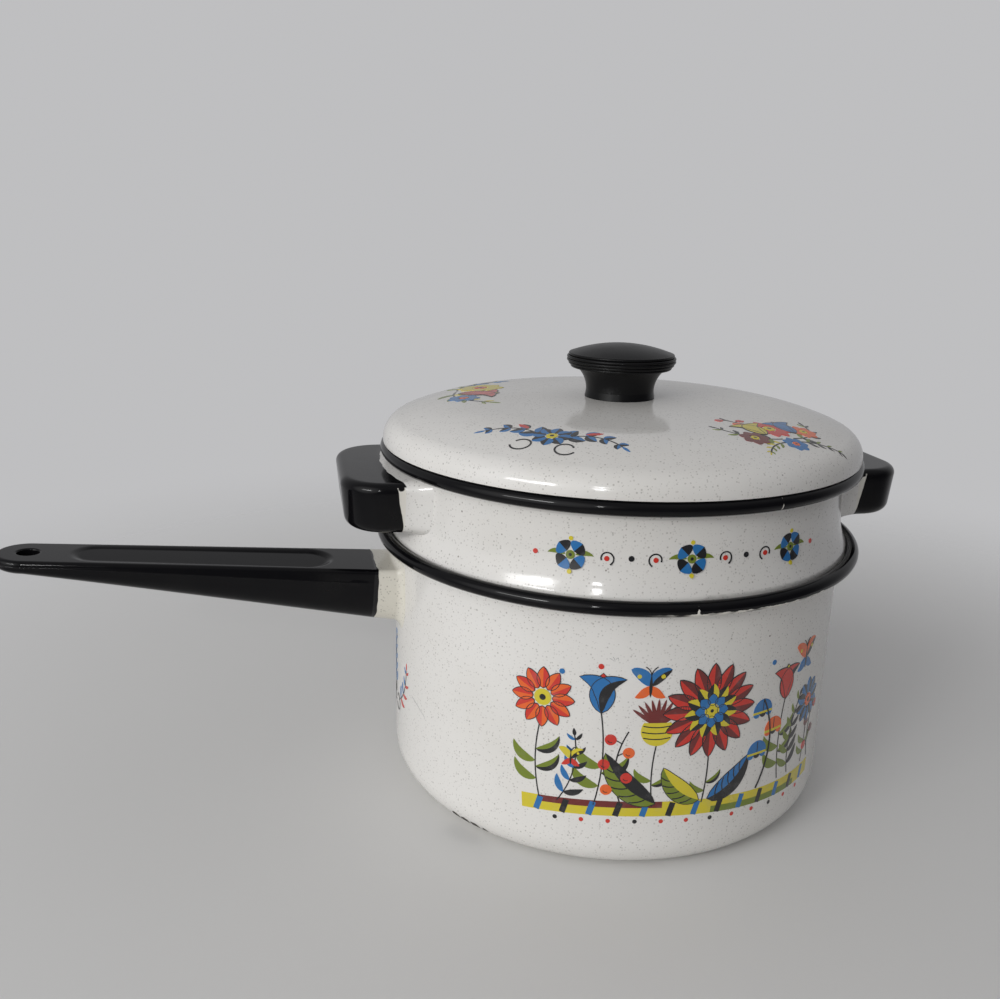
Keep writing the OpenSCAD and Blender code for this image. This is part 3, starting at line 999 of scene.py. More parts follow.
    def root(self, shape: Shape) -> None:
        """Add the white root, whose section flares into the wall and takes on its curve.

        Args:
            shape: The piece that takes the grids.
        """
        turn = np.linspace(0, np.pi / 2, 18)
        spread = np.concatenate([[self.fillet], self.fillet * (1 - np.sin(turn)), np.zeros(13)])
        d = np.concatenate([[-self.sunk], self.fillet * (1 - np.cos(turn)),
                            np.linspace(self.fillet, self.root_len, 14)[1:]])
        follow = 1 - smooth((d - self.fillet) / (self.root_len - self.fillet))
        half, depth = self.half_w(d), self.depth(d)
        y = half[:, None] * cosines(self.across)
        at = d[:, None] + 0 * y
        level = depth[:, None] / 2
        wide = ((half + spread) / half)[:, None]
        tall = 1 + spread[:, None] / level
        rows = [self.top(at, y), self.under(at, y)]
        share = np.linspace(0, 1, 5)
        edge = rows[0][:, :1] * (1 - share) + rows[1][:, :1] * share
        ring_y = np.concatenate([y, -y[:, :1] + 0 * edge, y[:, ::-1], y[:, :1] + 0 * edge], 1) * wide
        ring_z = np.concatenate([rows[0], edge, rows[1][:, ::-1], edge[:, ::-1]], 1)
        ring_z = (ring_z + level) * tall - level
        sag = self.wall_r - np.sqrt(self.wall_r ** 2 - ring_y ** 2)
        turn = math.radians(self.slope)
        back = (sag - ring_z * math.sin(turn)) / math.cos(turn)
        points = self.placed(d[:, None] - follow[:, None] * back, ring_y, ring_z)
        shape.grid(points)
        shape.disc(points[0])
        shape.disc(points[-1])

    def build(self, black: Any, white: Any) -> None:
        """Make the grip and the root.

        Args:
            black: Material of the grip.
            white: Material of the root.
        """
        grip = Shape("long_grip")
        self.grip(grip)
        grip.piece(black, "pan", Slot.BLACK, ("long_handle",))
        root = Shape("long_root")
        self.root(root)
        root.piece(white, "pan", Slot.WHITE, ("long_handle_root",))


@dataclass
class SideHandle:
    """One side handle: a closed, rounded block that flares into the wall.

    Its edge is one section, with a round below, a leaning flank and a round
    above, carried along a leg, a corner, the front, a corner and a leg. Flat
    sheets close it above and below. Towards the wall each place moves outwards by
    its own size times the square of its share of the flare's reach.

    Attributes:
        name: Which side it is on.
        side: 1 for +X and -1 for -X.
        wall_r: Radius of the wall that it stands on.
        top_z: Height of its top face.
        reach: Distance of its front from the middle of the pan.
        width: Its width.
        height: Its height.
        corner_r: Radius of its outer corners in plan.
        draft: How far its front leans in from top to bottom.
        top_r: Radius of the upper outer edge.
        bottom_r: Radius of the lower outer edge.
        split: Distance from the middle of the pan where the root ends.
        flare: Reach of the flare from the wall.
        flare_side: How far it spreads sideways at the wall.
        flare_up: How far it rises there.
        flare_down: How far it sinks there.
        sunk: How far the root reaches into the wall.
    """

    name: str
    side: float
    wall_r: float = 82.5
    top_z: float = 122.9
    reach: float = 104.0
    width: float = 64.0
    height: float = 17.8
    corner_r: float = 15.5
    draft: float = 1.0
    top_r: float = 3.0
    bottom_r: float = 4.0
    split: float = 89.0
    flare: float = 8.6
    flare_side: float = 4.0
    flare_up: float = 2.4
    flare_down: float = 1.2
    sunk: float = 0.3

    def edge(self) -> tuple[Points, Points]:
        """The section of the edge from the underside to the top.

        Returns:
            Points outwards from the corners' axis and up, and their normals' angles.
        """
        arcs = np.array([[self.corner_r - self.draft - self.bottom_r, self.bottom_r, self.bottom_r],
                         [self.corner_r - self.top_r, self.height - self.top_r, self.top_r]])
        step = arcs[1] - arcs[0]
        lean = (math.atan2(step[1], step[0]) - math.pi / 2
                + math.asin(-step[2] / math.hypot(step[0], step[1])))
        turn = np.stack([np.linspace(-np.pi / 2, lean, 13), np.linspace(lean, np.pi / 2, 13)])
        points = arcs[:, None, :2] + arcs[:, 2, None, None] * np.stack([np.cos(turn), np.sin(turn)], -1)
        flat = points[0, -1] + (points[1, 0] - points[0, -1]) * np.linspace(0, 1, 8)[1:-1, None]
        return (np.concatenate([points[0], flat, points[1]]),
                np.concatenate([turn[0], np.full(len(flat), lean), turn[1]]))

    def stations(self) -> tuple[Points, Points]:
        """Places along a corner, the front and the other corner: across, and the turn there."""
        middle = self.width / 2 - self.corner_r
        turn = np.linspace(np.pi / 2, 0, 25)
        front = np.linspace(middle, -middle, 17)[1:-1]
        across = np.concatenate([0 * turn + middle, front, 0 * turn - middle])
        return across, np.concatenate([turn, 0 * front, -turn[::-1]])

    def placed(self, rho: Points, y: Points, z: Points, out_y: Points, out_z: Points) -> Points:
        """Points of the frame at a distance rho from the pan's axis, with the flare added.

        Args:
            rho: Distance from the axis.
            y: Place across, before the flare.
            z: Height above the handle's foot, before the flare.
            out_y: The outward normal's part across.
            out_z: Its part upwards.

        Returns:
            The points.
        """
        share = np.clip(1 - (rho - self.wall_r) / self.flare, 0, 1.05) ** 2
        across = y + share * out_y * self.flare_side
        level = z + share * out_z * np.where(out_z > 0, self.flare_up, self.flare_down)
        out = np.sqrt(np.maximum(rho ** 2 - across ** 2, 0))
        return np.stack([self.side * out, across, self.top_z - self.height + level], -1)

    def contour(self) -> tuple[Points, Points, Points, Points]:
        """The closed outline of the handle's back: across, height and both parts of the normal."""
        (out, up), turn = self.edge()[0].T, self.edge()[1]
        middle = self.width / 2 - self.corner_r
        across, lean = self.stations()
        top = across + out[-1] * np.sin(lean)
        foot = (across + out[0] * np.sin(lean))[::-1]
        y = np.concatenate([top, -middle - out[::-1], foot, middle + out])
        z = np.concatenate([0 * top + up[-1], up[::-1], 0 * foot + up[0], up])
        out_y = np.concatenate([0 * top, -np.cos(turn[::-1]), 0 * foot, np.cos(turn)])
        out_z = np.concatenate([0 * top + 1, np.sin(turn[::-1]), 0 * foot - 1, np.sin(turn)])
        return y, z, out_y, out_z

    def grip(self, shape: Shape) -> None:
        """Add the black block: its rounded edge, both legs, the top and the underside.

        Args:
            shape: The piece that takes the grids.
        """
        (out, up), turn = self.edge()[0].T, self.edge()[1]
        middle = self.width / 2 - self.corner_r
        centre = self.reach - self.corner_r
        across, lean = self.stations()
        x = centre + out * np.cos(lean[:, None])
        y = across[:, None] + out * np.sin(lean[:, None])
        shape.grid(self.placed(np.hypot(x, y), y, up + 0 * x, 0 * x, 0 * x))
        share = np.linspace(0, 1, 15)[:, None] ** 1.4
        for leg in (1, -1):
            y = leg * (middle + out)
            rho = self.split + (np.hypot(centre, y) - self.split) * share
            shape.grid(self.placed(rho, y + 0 * rho, up + 0 * rho, leg * np.cos(turn) + 0 * rho,
                                   np.sin(turn) + 0 * rho))
        for row, level in ((-1, 1.0), (0, -1.0)):
            x = centre + out[row] * np.cos(lean)
            y = across + out[row] * np.sin(lean)
            rho = self.split + (np.hypot(x, y) - self.split) * share
            shape.grid(self.placed(rho, y + 0 * rho, up[row] + 0 * rho, 0 * rho, level + 0 * rho))
        self.lid(shape, self.split)

    def lid(self, shape: Shape, rho: float) -> None:
        """Close the handle's back at a distance rho from the axis, with one curved sheet."""
        y, z, out_y, out_z = self.contour()
        ring = self.placed(rho + 0 * y, y, z, out_y, out_z)
        share = np.linspace(0, 1, 6)[:, None]
        flat = ring[:, 1:] * (1 - share[..., None]) + ring[:, 1:].mean(0) * share[..., None]
        out = self.side * np.sqrt(rho ** 2 - flat[..., 0] ** 2)
        shape.grid(np.concatenate([out[..., None], flat], -1)[:, np.r_[0:len(y), 0]])

    def root(self, shape: Shape) -> None:
        """Add the root: rings at growing distances from the axis, from inside the wall out.

        Args:
            shape: The piece that takes the grids.
        """
        y, z, out_y, out_z = self.contour()
        first = self.wall_r - self.sunk
        rho = first + (self.split - first) * np.linspace(0, 1, 16)[:, None]
        ring = np.r_[0:len(y), 0]
        shape.grid(self.placed(rho + 0 * y, y + 0 * rho, z + 0 * rho, out_y + 0 * rho,
                               out_z + 0 * rho)[:, ring])
        self.lid(shape, first)
        self.lid(shape, self.split)

    def build(self, black: Any, white: Any) -> None:
        """Make the grip and the root.

        Args:
            black: Material of the grip.
            white: Material of the root.
        """
        grip = Shape(f"side_grip_{self.name}")
        self.grip(grip)
        grip.piece(black, "insert", Slot.BLACK, (f"side_handle_{self.name}",))
        root = Shape(f"side_root_{self.name}")
        self.root(root)
        root.piece(white, "insert", Slot.WHITE, (f"side_roots_{self.name}",))


@dataclass
class Wall:
    """A round wall that carries prints: u runs round it and v up it, in millimetres.

    Attributes:
        radius: The wall's radius.
        azimuth: Where u is 0, in degrees from +X.
        level: Height where v is 0.
        profile: Radius less the wall's radius, as a function of height.
    """

    radius: float
    azimuth: float
    level: float
    profile: Callable[[Points], Points] = field(default=lambda z: 0 * z)

    def points(self, u: Points, v: Points, lift: float) -> Points:
        """Wrap flat places onto the wall, lift millimetres above it."""
        turn = math.radians(self.azimuth) + u / self.radius
        z = self.level + v
        reach = self.radius + self.profile(z) + lift
        return np.stack([reach * np.cos(turn), reach * np.sin(turn), z], -1)


@dataclass
class Dome:
    """The lid's top: u runs across and v outwards from a place on it.

    Its height comes from three arcs about the lid's axis, which touch: the
    rounded edge, the shoulder and the nearly flat crown.

    Attributes:
        azimuth: Direction of the print's middle, in degrees from +X.
        reach: Distance of its middle from the axis.
        turn: Turn of the print about its middle, in degrees.
        base_z: Height of the lid's lower edge.
        lid_r: Radius of the lid.
        skirt_h: Height of the upright band at its edge.
        edge_r: Radius of the rounded edge.
        edge_turn: Turn of the edge's arc, in degrees.
        shoulder_r: Radius of the shoulder.
        crown_turn: Turn where the crown begins, in degrees.
    """

    azimuth: float
    reach: float
    turn: float = 0.0
    base_z: float = 130.0
    lid_r: float = 87.5
    skirt_h: float = 0.6
    edge_r: float = 8.3
    edge_turn: float = 68.0
    shoulder_r: float = 86.5
    crown_turn: float = 87.0

    def height(self, rho: Points) -> Points:
        """Height of the lid's top at a distance rho from the axis."""
        first, second = math.radians(self.edge_turn), math.radians(self.crown_turn)
        edge = np.array([self.lid_r - self.edge_r, self.base_z + self.skirt_h])
        shoulder = edge - (self.shoulder_r - self.edge_r) * np.array([math.cos(first), math.sin(first)])
        back = shoulder[0] / math.cos(second)
        crown_r = self.shoulder_r + back
        crown_z = shoulder[1] - back * math.sin(second)
        on_crown = crown_z + np.sqrt(crown_r ** 2 - rho ** 2)
        on_shoulder = shoulder[1] + np.sqrt(np.maximum(self.shoulder_r ** 2 - (rho - shoulder[0]) ** 2, 0))
        on_edge = edge[1] + np.sqrt(np.maximum(self.edge_r ** 2 - (rho - edge[0]) ** 2, 0))
        inner = crown_r * math.cos(second)
        outer = edge[0] + self.edge_r * math.cos(first)
        return np.where(rho < inner, on_crown, np.where(rho < outer, on_shoulder, on_edge))

    def points(self, u: Points, v: Points, lift: float) -> Points:
        """Lay flat places onto the dome, lift millimetres above it."""
        own, place = math.radians(self.turn), math.radians(self.azimuth)
        across = u * math.cos(own) - v * math.sin(own)
        along = u * math.sin(own) + v * math.cos(own) + self.reach
        x = along * math.cos(place) + across * math.sin(place)
        y = along * math.sin(place) - across * math.cos(place)
        return np.stack([x, y, self.height(np.hypot(x, y)) + lift], -1)


class Transfer:
    """A fired print on one surface: flat strokes, sorted by ink.

    Each stroke is a ribbon along a spine, with its own width to the left and to
    the right. It becomes a thin closed skin that follows the surface. A stroke of
    a higher level covers the lower ones.
    """

    LIFT = 0.03
    STEP = 0.016
    PLIES = 4
    SUNK = -0.12

    def __init__(self, name: str, body: str, surface: Any, scale: float = 1.0) -> None:
        """Start a print.

        Args:
            name: Start of its pieces' names.
            body: The body that it rides on.
            surface: The Wall or Dome that carries it.
            scale: Size of the print's units, in millimetres.
        """
        self.name, self.body, self.surface, self.scale = name, body, surface, scale
        self.shapes: dict[Ink, Shape] = {}
        self.level = 0
        self.strokes = 0

    def ribbon(self, ink: Ink, spine: Points, left: Points, right: Points, columns: int = 5) -> None:
        """Add one stroke.

        Args:
            ink: Its colour.
            spine: Points along its middle line, as an array of u and v.
            left: Width to the left of each point.
            right: Width to the right of each point.
            columns: Number of points across it.
        """
        shape = self.shapes.setdefault(ink, Shape(f"{self.name}_{ink.name.lower()}"))
        normal = self.normals(spine)
        share = np.linspace(0, 1, columns)[None, :]
        offset = left[:, None] * (1 - share) - right[:, None] * share
        flat = (spine[:, None, :] + normal[:, None, :] * offset[..., None]) * self.scale
        self.strokes += 1
        lift = self.LIFT + self.STEP * (self.level + self.strokes % self.PLIES / self.PLIES)
        upper = self.surface.points(flat[..., 0], flat[..., 1], lift)
        lower = self.surface.points(flat[..., 0], flat[..., 1], self.SUNK)
        shape.grid(upper)
        shape.grid(lower)
        for edge in (np.s_[:, 0], np.s_[:, -1], np.s_[0], np.s_[-1]):
            shape.grid(np.stack([upper[edge], lower[edge]]))

    def normals(self, spine: Points) -> Points:
        """Unit vectors that stand to the left of each point of a line."""
        along = np.gradient(spine, axis=0)
        along /= np.maximum(np.linalg.norm(along, axis=1, keepdims=True), 1e-9)
        return np.stack([-along[:, 1], along[:, 0]], -1)

    def arc(self, start: Spot, end: Spot, bend: float,
            count: int = 15) -> Points:
        """A curved line whose middle stands off the straight one by bend times its length."""
        first, last = np.array(start, float), np.array(end, float)
        share = np.linspace(0, 1, count)[:, None]
        chord = last - first
        across = np.array([-chord[1], chord[0]])
        return first + chord * share + across * (4 * bend * share * (1 - share))

    def leaf(self, ink: Ink, start: Spot, end: Spot, width: float,
             bend: float = 0.0, half: Optional[Ink] = None, power: float = 0.8, edge: float = 0.0,
             veins: int = 0) -> None:
        """A leaf or petal, pointed at both ends, with an optional second half.

        Args:
            ink: Its colour.
            start: Its root.
            end: Its tip.
            width: Its full width.
            bend: How much it curves.
            half: Colour of its right half.
            power: Bluntness: a small power makes blunt ends.
            edge: Width of its black outline, if it has one.
            veins: Number of black veins on its left half.
        """
        spine = self.arc(start, end, bend)
        share = np.linspace(0, 1, len(spine))
        side = width / 2 * np.sin(np.pi * share ** 0.85) ** power
        if half is None:
            self.ribbon(ink, spine, side, side)
        else:
            self.ribbon(ink, spine, side, 0 * side, 3)
            self.ribbon(half, spine, 0 * side, side, 3)
        reach = self.normals(spine) * side[:, None]
        self.level += 1
        if edge:
            self.line(Ink.BLACK, np.concatenate([spine - reach, (spine + reach)[-2::-1]]), edge)
        for number in range(veins):
            at = 2 + round(number * 10 / veins)
            tip = spine[at + 2] + 0.92 * reach[at + 2]
            self.line(Ink.BLACK, self.arc(spine[at], tip, 0.08, 5), 0.055 * width)
        self.level -= 1

    def line(self, ink: Ink, spine: Points, width: float, taper: float = 0.0) -> None:
        """A line of even width, or one that thins out towards its end."""
        share = np.linspace(0, 1, len(spine))
        side = width / 2 * (1 - taper * share)
        self.ribbon(ink, spine, side, side, 3)

    def dot(self, ink: Ink, centre: Spot, radius: float, low: float = -1.0,
            high: float = 1.0) -> None:
        """A disc, or the part of it between two heights, from -1 to 1 of its radius.

        Args:
            ink: Its colour.
            centre: Its middle.
            radius: Its radius.
            low: Lower cut.
            high: Upper cut.
        """
        level = np.sin(np.linspace(math.asin(low), math.asin(high), 15))
        spine = np.stack([centre[0] + 0 * level, centre[1] + radius * level], -1)
        side = radius * np.sqrt(np.maximum(1 - level ** 2, 0))
        self.ribbon(ink, spine, side, side, 9)

    def ring(self, ink: Ink, centre: Spot, radius: float, width: float,
             start: float = 0.0, end: float = 360.0, grow: float = 0.0) -> None:
        """A round line from start to end degrees, whose radius may grow on the way."""
        turn = np.radians(np.linspace(start, end, 33))
        reach = radius * (1 + grow * np.linspace(0, 1, len(turn)))
        spine = np.stack([centre[0] + reach * np.cos(turn), centre[1] + reach * np.sin(turn)], -1)
        self.line(ink, spine, width)

    def bar(self, ink: Ink, centre: Spot, width: float, height: float,
            slant: float = 0.0) -> None:
        """An upright bar with straight ends, which may lean sideways."""
        share = np.linspace(-0.5, 0.5, 5)
        spine = np.stack([centre[0] + slant * share, centre[1] + height * share], -1)
        side = np.full(5, width / 2)
        self.ribbon(ink, spine, side, side, 5)

    def build(self, inks: dict[Ink, Any]) -> None:
        """Make one piece for each ink of the print."""
        for ink, shape in self.shapes.items():
            shape.piece(inks[ink], self.body, Slot.WHITE)


@dataclass
class Garden:
    """Plants drawn with a transfer's strokes, each on its own stem.

    Attributes:
        transfer: The print that takes the strokes.
    """

    transfer: Transfer

    def stem(self, foot: Spot, head: Spot, bend: float,
             leaves: int = 2, leaf: Ink = Ink.GREEN) -> None:
        """A thin black stem with pairs of two-toned leaves.

        Args:
            foot: Where it starts.
            head: Where it ends.
            bend: How much it curves.
            leaves: Number of leaves.
            leaf: Their colour.
        """
        draw = self.transfer
        draw.level = 2
        spine = draw.arc(foot, head, bend)
        draw.line(Ink.BLACK, spine, 0.45)
        length = math.dist(foot, head)
        for number in range(leaves):
            side = 1 if number % 2 else -1
            root = spine[3 + 3 * number // 2 + number % 2]
            tip = (root[0] + side * 0.26 * length, root[1] + 0.2 * length)
            draw.leaf(leaf, root, tip, 0.11 * length, -0.2 * side, Ink.BLACK if side > 0 else None)

    def daisy(self, centre: Spot, radius: float, petals: int, ink: Ink, heart: Ink,
              half: Optional[Ink] = None, start: float = 90.0, edge: float = 0.0,
              level: int = 7) -> None:
        """A round flower of narrow petals about a heart, each with a black outline of width edge."""
        draw = self.transfer
        draw.level = level
        for number in range(petals):
            turn = math.radians(start + 360 / petals * number)
            root = (centre[0] + 0.3 * radius * math.cos(turn), centre[1] + 0.3 * radius * math.sin(turn))
            tip = (centre[0] + radius * math.cos(turn), centre[1] + radius * math.sin(turn))
            width = 1.55 * radius * math.sin(math.pi / petals)
            draw.leaf(ink, root, tip, width, 0.0, half, 0.7, edge)
        draw.level = level + 2
        draw.dot(heart, centre, 0.27 * radius)
        draw.level = level + 3
        draw.dot(Ink.BLACK, centre, 0.1 * radius)

    def tulip(self, foot: Spot, size: float, ink: Ink, inner: Ink,
              half: Optional[Ink] = Ink.BLACK) -> None:
        """A cup of three petals that stands on foot."""
        draw = self.transfer
        x, y = foot
        draw.level = 6
        draw.leaf(inner, (x, y), (x, y + 1.15 * size), 0.62 * size, 0.0, None, 0.8, 0.25, 3)
        draw.level = 8
        draw.leaf(ink, (x, y), (x - 0.62 * size, y + size), 0.55 * size, -0.32, None, 0.8, 0.25)
        draw.leaf(ink, (x, y), (x + 0.62 * size, y + size), 0.55 * size, 0.32, half, 0.8, 0.25)

    def thistle(self, foot: Spot, size: float, ink: Ink, cup: Ink) -> None:
        """A striped ball with a fan of narrow petals on it."""
        draw = self.transfer
        x, y = foot
        draw.level = 5
        for turn in np.radians(np.linspace(38, 142, 9)):
            tip = (x + 1.5 * size * math.cos(turn), y + size + 1.35 * size * math.sin(turn))
            draw.leaf(ink, (x, y + size), tip, 0.2 * size, 0.0, None, 0.6)
        draw.level = 6
        draw.dot(cup, (x, y + 0.75 * size), 0.75 * size, -1.0, 0.55)
        draw.level = 7
        for share in (-0.45, -0.05, 0.35):
            reach = 0.7 * size * math.sqrt(1 - share ** 2)
            high = y + 0.75 * size * (1 + share)
            draw.line(Ink.BLACK, draw.arc((x - reach, high), (x + reach, high), -0.06), 0.4)

    def fern(self, foot: Spot, head: Spot, pairs: int, ink: Ink,
             other: Ink, bend: float = 0.1, half: Optional[Ink] = None, plump: float = 0.34) -> None:
        """A curved frond whose pairs of leaflets get smaller towards its tip."""
        draw = self.transfer
        draw.level = 3
        spine = draw.arc(foot, head, bend, 4 * pairs + 1)
        draw.line(Ink.BLACK, spine, 0.4)
        along = np.gradient(spine, axis=0)
        length = math.dist(foot, head)
        for number in range(pairs):
            at = 4 * number + 3
            step = along[at] / np.linalg.norm(along[at])
            size = length * (0.27 - 0.17 * number / pairs)
            for side in (1, -1):
                out = np.array([-step[1], step[0]]) * side
                tip = spine[at] + step * size * 0.7 + out * size * 0.75
                draw.leaf(ink if side > 0 else other, spine[at], tip, plump * size,
                          0.1 * side, half)
        draw.leaf(other, spine[-1], spine[-1] + along[-1] * 2.2, 0.05 * length)

    def berries(self, foot: Spot, head: Spot, count: int, ink: Ink,
                other: Ink, size: float) -> None:
        """A bent twig with round berries on short stalks, turn about left and right."""
        draw = self.transfer
        spine = draw.arc(foot, head, 0.12, 2 * count + 3)
        draw.level = 3
        draw.line(Ink.BLACK, spine, 0.45)
        for number in range(count):
            root = spine[2 * number + 2]
            side = 1 if number % 2 else -1
            centre = (root[0] + side * 1.9 * size, root[1] + 0.7 * size)
            draw.level = 3
            draw.line(Ink.BLACK, draw.arc(root, centre, 0.1 * side), 0.35)
            draw.level = 5
            draw.dot(ink if number % 3 else other, centre, size)
            draw.level = 6
            draw.ring(Ink.BLACK, centre, 0.5 * size, 0.25, 200, 300)

    def bell(self, head: Spot, size: float, ink: Ink, band: Ink) -> None:
        """A hanging bell flower: a half disc with a band and three drops below."""
        draw = self.transfer
        x, y = head
        draw.level = 6
        draw.dot(ink, (x, y - size), size, -0.05, 1.0)
        draw.level = 7
        draw.bar(band, (x, y - 1.12 * size), 2 * size, 0.22 * size)
        for number in (-1, 0, 1):
            centre = (x + 0.66 * size * number, y - 1.2 * size)
            draw.dot(ink if number else Ink.BLACK, centre, 0.33 * size, -1.0, 0.0)
        draw.line(Ink.BLACK, draw.arc((x, y - 0.1 * size), (x, y - 1.0 * size), 0.0), 0.35)

    def butterfly(self, centre: Spot, size: float, ink: Ink, other: Ink) -> None:
        """Four wings, the right ones edged in black, about a thin body."""
        draw = self.transfer
        x, y = centre
        draw.level = 7
        for side in (1, -1):
            half = Ink.BLACK if side > 0 else None
            draw.leaf(ink, (x, y), (x + side * size, y + 0.85 * size), 0.62 * size, 0.12 * side, half, 0.55)
            draw.leaf(other, (x, y), (x + side * 0.75 * size, y - 0.62 * size), 0.45 * size, -0.1 * side)
            draw.level = 8
            draw.dot(Ink.YELLOW, (x + side * 0.58 * size, y + 0.5 * size), 0.11 * size)
            feeler = draw.arc((x, y + 0.45 * size), (x + side * 0.3 * size, y + size), 0.15 * side)
            draw.line(Ink.BLACK, feeler, 0.3)
            draw.level = 7
        draw.level = 8
        draw.leaf(Ink.BLACK, (x, y - 0.6 * size), (x, y + 0.6 * size), 0.16 * size)


@dataclass
class Prints:
    """Every print on the pans and the lid, and the marks of wear.

    Attributes:
        pan_r: Radius of the lower pan's wall.
        insert_r: Radius of the upper pan's wall.
        border_z: Height of the border round the upper pan.
        blossoms: Number of places for a blossom in the border.
        border_start: Direction of the first place, in degrees from +X.
        clear: Turn that a blossom keeps from the side handles, in degrees.
        earth: Height where the garden's plants stand, from its middle.
        flare_end: Height where the flare above the shoulder ends.
        flare_r: Radius of that flare.
    """

    pan_r: float = 83.2
    insert_r: float = 82.5
    border_z: float = 110.6
    blossoms: int = 14
    border_start: float = -91.4
    clear: float = 45.0
    earth: float = -22.0
    flare_end: float = 111.64
    flare_r: float = 22.87

    def insert_flare(self, z: Points) -> Points:
        """How far the upper pan's wall stands out where it flares towards the shoulder."""
        drop = np.clip(self.flare_end - z, 0, 10)
        return self.flare_r - np.sqrt(self.flare_r ** 2 - drop ** 2)

    def ground(self, draw: Transfer) -> None:
        """A long ribbon of striped earth under the garden."""
        share = np.linspace(0, 1, 41)
        spine = np.stack([-58 + 116 * share, -24.5 + 1.6 * np.sin(5 * share)], -1)
        side = 2.7 + 0 * share
        draw.ribbon(Ink.YELLOW, spine, side, side)
        draw.level = 1
        draw.ribbon(Ink.MAROON, spine[2:17], side[2:17], -0.4 + 0 * side[2:17])
        draw.ribbon(Ink.GREEN, spine[22:37], -0.3 + 0 * side[22:37], side[22:37])
        draw.level = 2
        for number in range(13):
            at = spine[3 * number + 2]
            ink = Ink.BLACK if number % 2 else Ink.BLUE
            draw.bar(ink, (at[0], at[1] - 0.2), 2.0, 4.9, 1.4)
        for number in range(12):
            at = spine[3 * number + 4]
            draw.dot(Ink.RED if number % 3 else Ink.BLACK, (at[0], at[1] - 4.6), 0.75)

    def pan_print(self) -> Transfer:
        """The flower garden on the front of the lower pan."""
        earth = self.earth
        draw = Transfer("pan_print", "pan", Wall(self.pan_r, -86.0, 48.0))
        garden = Garden(draw)
        self.ground(draw)
        garden.stem((-52, earth), (-52, 8), 0.06, 4)
        garden.daisy((-52, 14), 10.5, 12, Ink.ORANGE, Ink.YELLOW, Ink.RED, edge=0.25)
        garden.fern((-46, earth), (-41, 2), 5, Ink.BLUE, Ink.BLACK, -0.1)
        garden.stem((-34, earth), (-33, 11), -0.05, 3)
        garden.tulip((-33, 11), 12.0, Ink.BLUE, Ink.RED)
        draw.level = 4
        draw.leaf(Ink.GREEN, (-14, earth + 1), (-31, -3), 8.5, 0.12, Ink.BLACK, 0.7, 0.25, 5)
        garden.berries((-25, earth), (-24, 5), 5, Ink.RED, Ink.ORANGE, 1.9)
        garden.stem((-15, earth), (-15, 0), 0.04, 3)
        garden.thistle((-15, 0), 7.0, Ink.MAROON, Ink.YELLOW)
        garden.stem((2, earth), (3, -2), -0.03, 2)
        draw.level = 4
        draw.leaf(Ink.GREEN, (1, earth + 1), (-12, -8), 7.5, 0.12, Ink.YELLOW, 0.7, 0.25, 5)
        draw.leaf(Ink.BLUE, (4, earth + 1), (19, -8), 8.0, -0.12, Ink.BLACK, 0.7, 0.25, 5)
        garden.daisy((3, 11), 16.5, 16, Ink.RED, Ink.BLUE, Ink.MAROON, edge=0.3)
        garden.daisy((3, 11), 9.5, 11, Ink.BLACK, Ink.YELLOW, Ink.YELLOW, level=9)
        garden.daisy((3, 11), 6.0, 8, Ink.BLUE, Ink.YELLOW, edge=0.2, level=11)
        self.pan_print_right(garden)
        return draw

    def pan_print_right(self, garden: Garden) -> None:
        """The right half of the garden, with its bells, butterflies and scattered seeds."""
        draw, earth = garden.transfer, self.earth
        draw.line(Ink.BLACK, draw.arc((24, earth), (24, 11), -0.14), 0.5)
        for x, y, ink in ((24, 11, Ink.BLUE), (30.0, 3, Ink.ORANGE), (23.0, -4, Ink.BLUE)):
            garden.bell((x, y), 4.2, ink, Ink.YELLOW)
        garden.stem((35, earth), (35, 8), 0.05, 4)
        garden.tulip((35, 8), 11.0, Ink.RED, Ink.YELLOW)
        garden.fern((41, earth), (45, 6), 6, Ink.GREEN, Ink.BLACK, 0.1)
        garden.stem((51, earth), (52, -3), -0.05, 3)
        garden.daisy((52, 2), 8.5, 10, Ink.BLUE, Ink.ORANGE, Ink.BLACK)
        garden.berries((57, earth), (59, 1), 4, Ink.MAROON, Ink.RED, 1.6)
        garden.butterfly((-18, 21), 6.5, Ink.BLUE, Ink.ORANGE)
        garden.butterfly((46, 20), 6.5, Ink.ORANGE, Ink.BLUE)
        garden.butterfly((-42, -6), 4.0, Ink.YELLOW, Ink.RED)
        for number in range(9):
            centre = (-46 + 12.2 * number, 24 + 3 * math.sin(1.61 * number))
            if all(abs(centre[0] - middle) > reach for middle, reach in ((3, 17), (-18, 9), (46, 8))):
                draw.dot(Ink.RED if number % 2 else Ink.BLUE, centre, 0.9)

    def pan_sprig(self) -> Transfer:
        """The small blue spray beside the long handle's root."""
        draw = Transfer("pan_sprig", "pan", Wall(self.pan_r, -181.0, 44.0), 1.3)
        garden = Garden(draw)
        garden.fern((0, -9), (1, 9), 5, Ink.BLUE, Ink.BLUE, 0.08)
        garden.fern((-5, -10), (-13, 4), 4, Ink.BLUE, Ink.GREEN, 0.15)
        garden.fern((5, -10), (14, 3), 4, Ink.BLUE, Ink.RED, -0.15)
        draw.ring(Ink.BLACK, (-3, -11), 2.0, 0.5, 20, 330, 0.4)
        draw.ring(Ink.BLACK, (4, -11), 2.0, 0.5, 160, -150, 0.4)
        return draw

    def shown(self, number: int) -> bool:
        """Say whether a blossom's place is clear of the side handles."""
        azimuth = self.border_start + 360 / self.blossoms * number
        return abs((azimuth + 90) % 180 - 90) >= self.clear

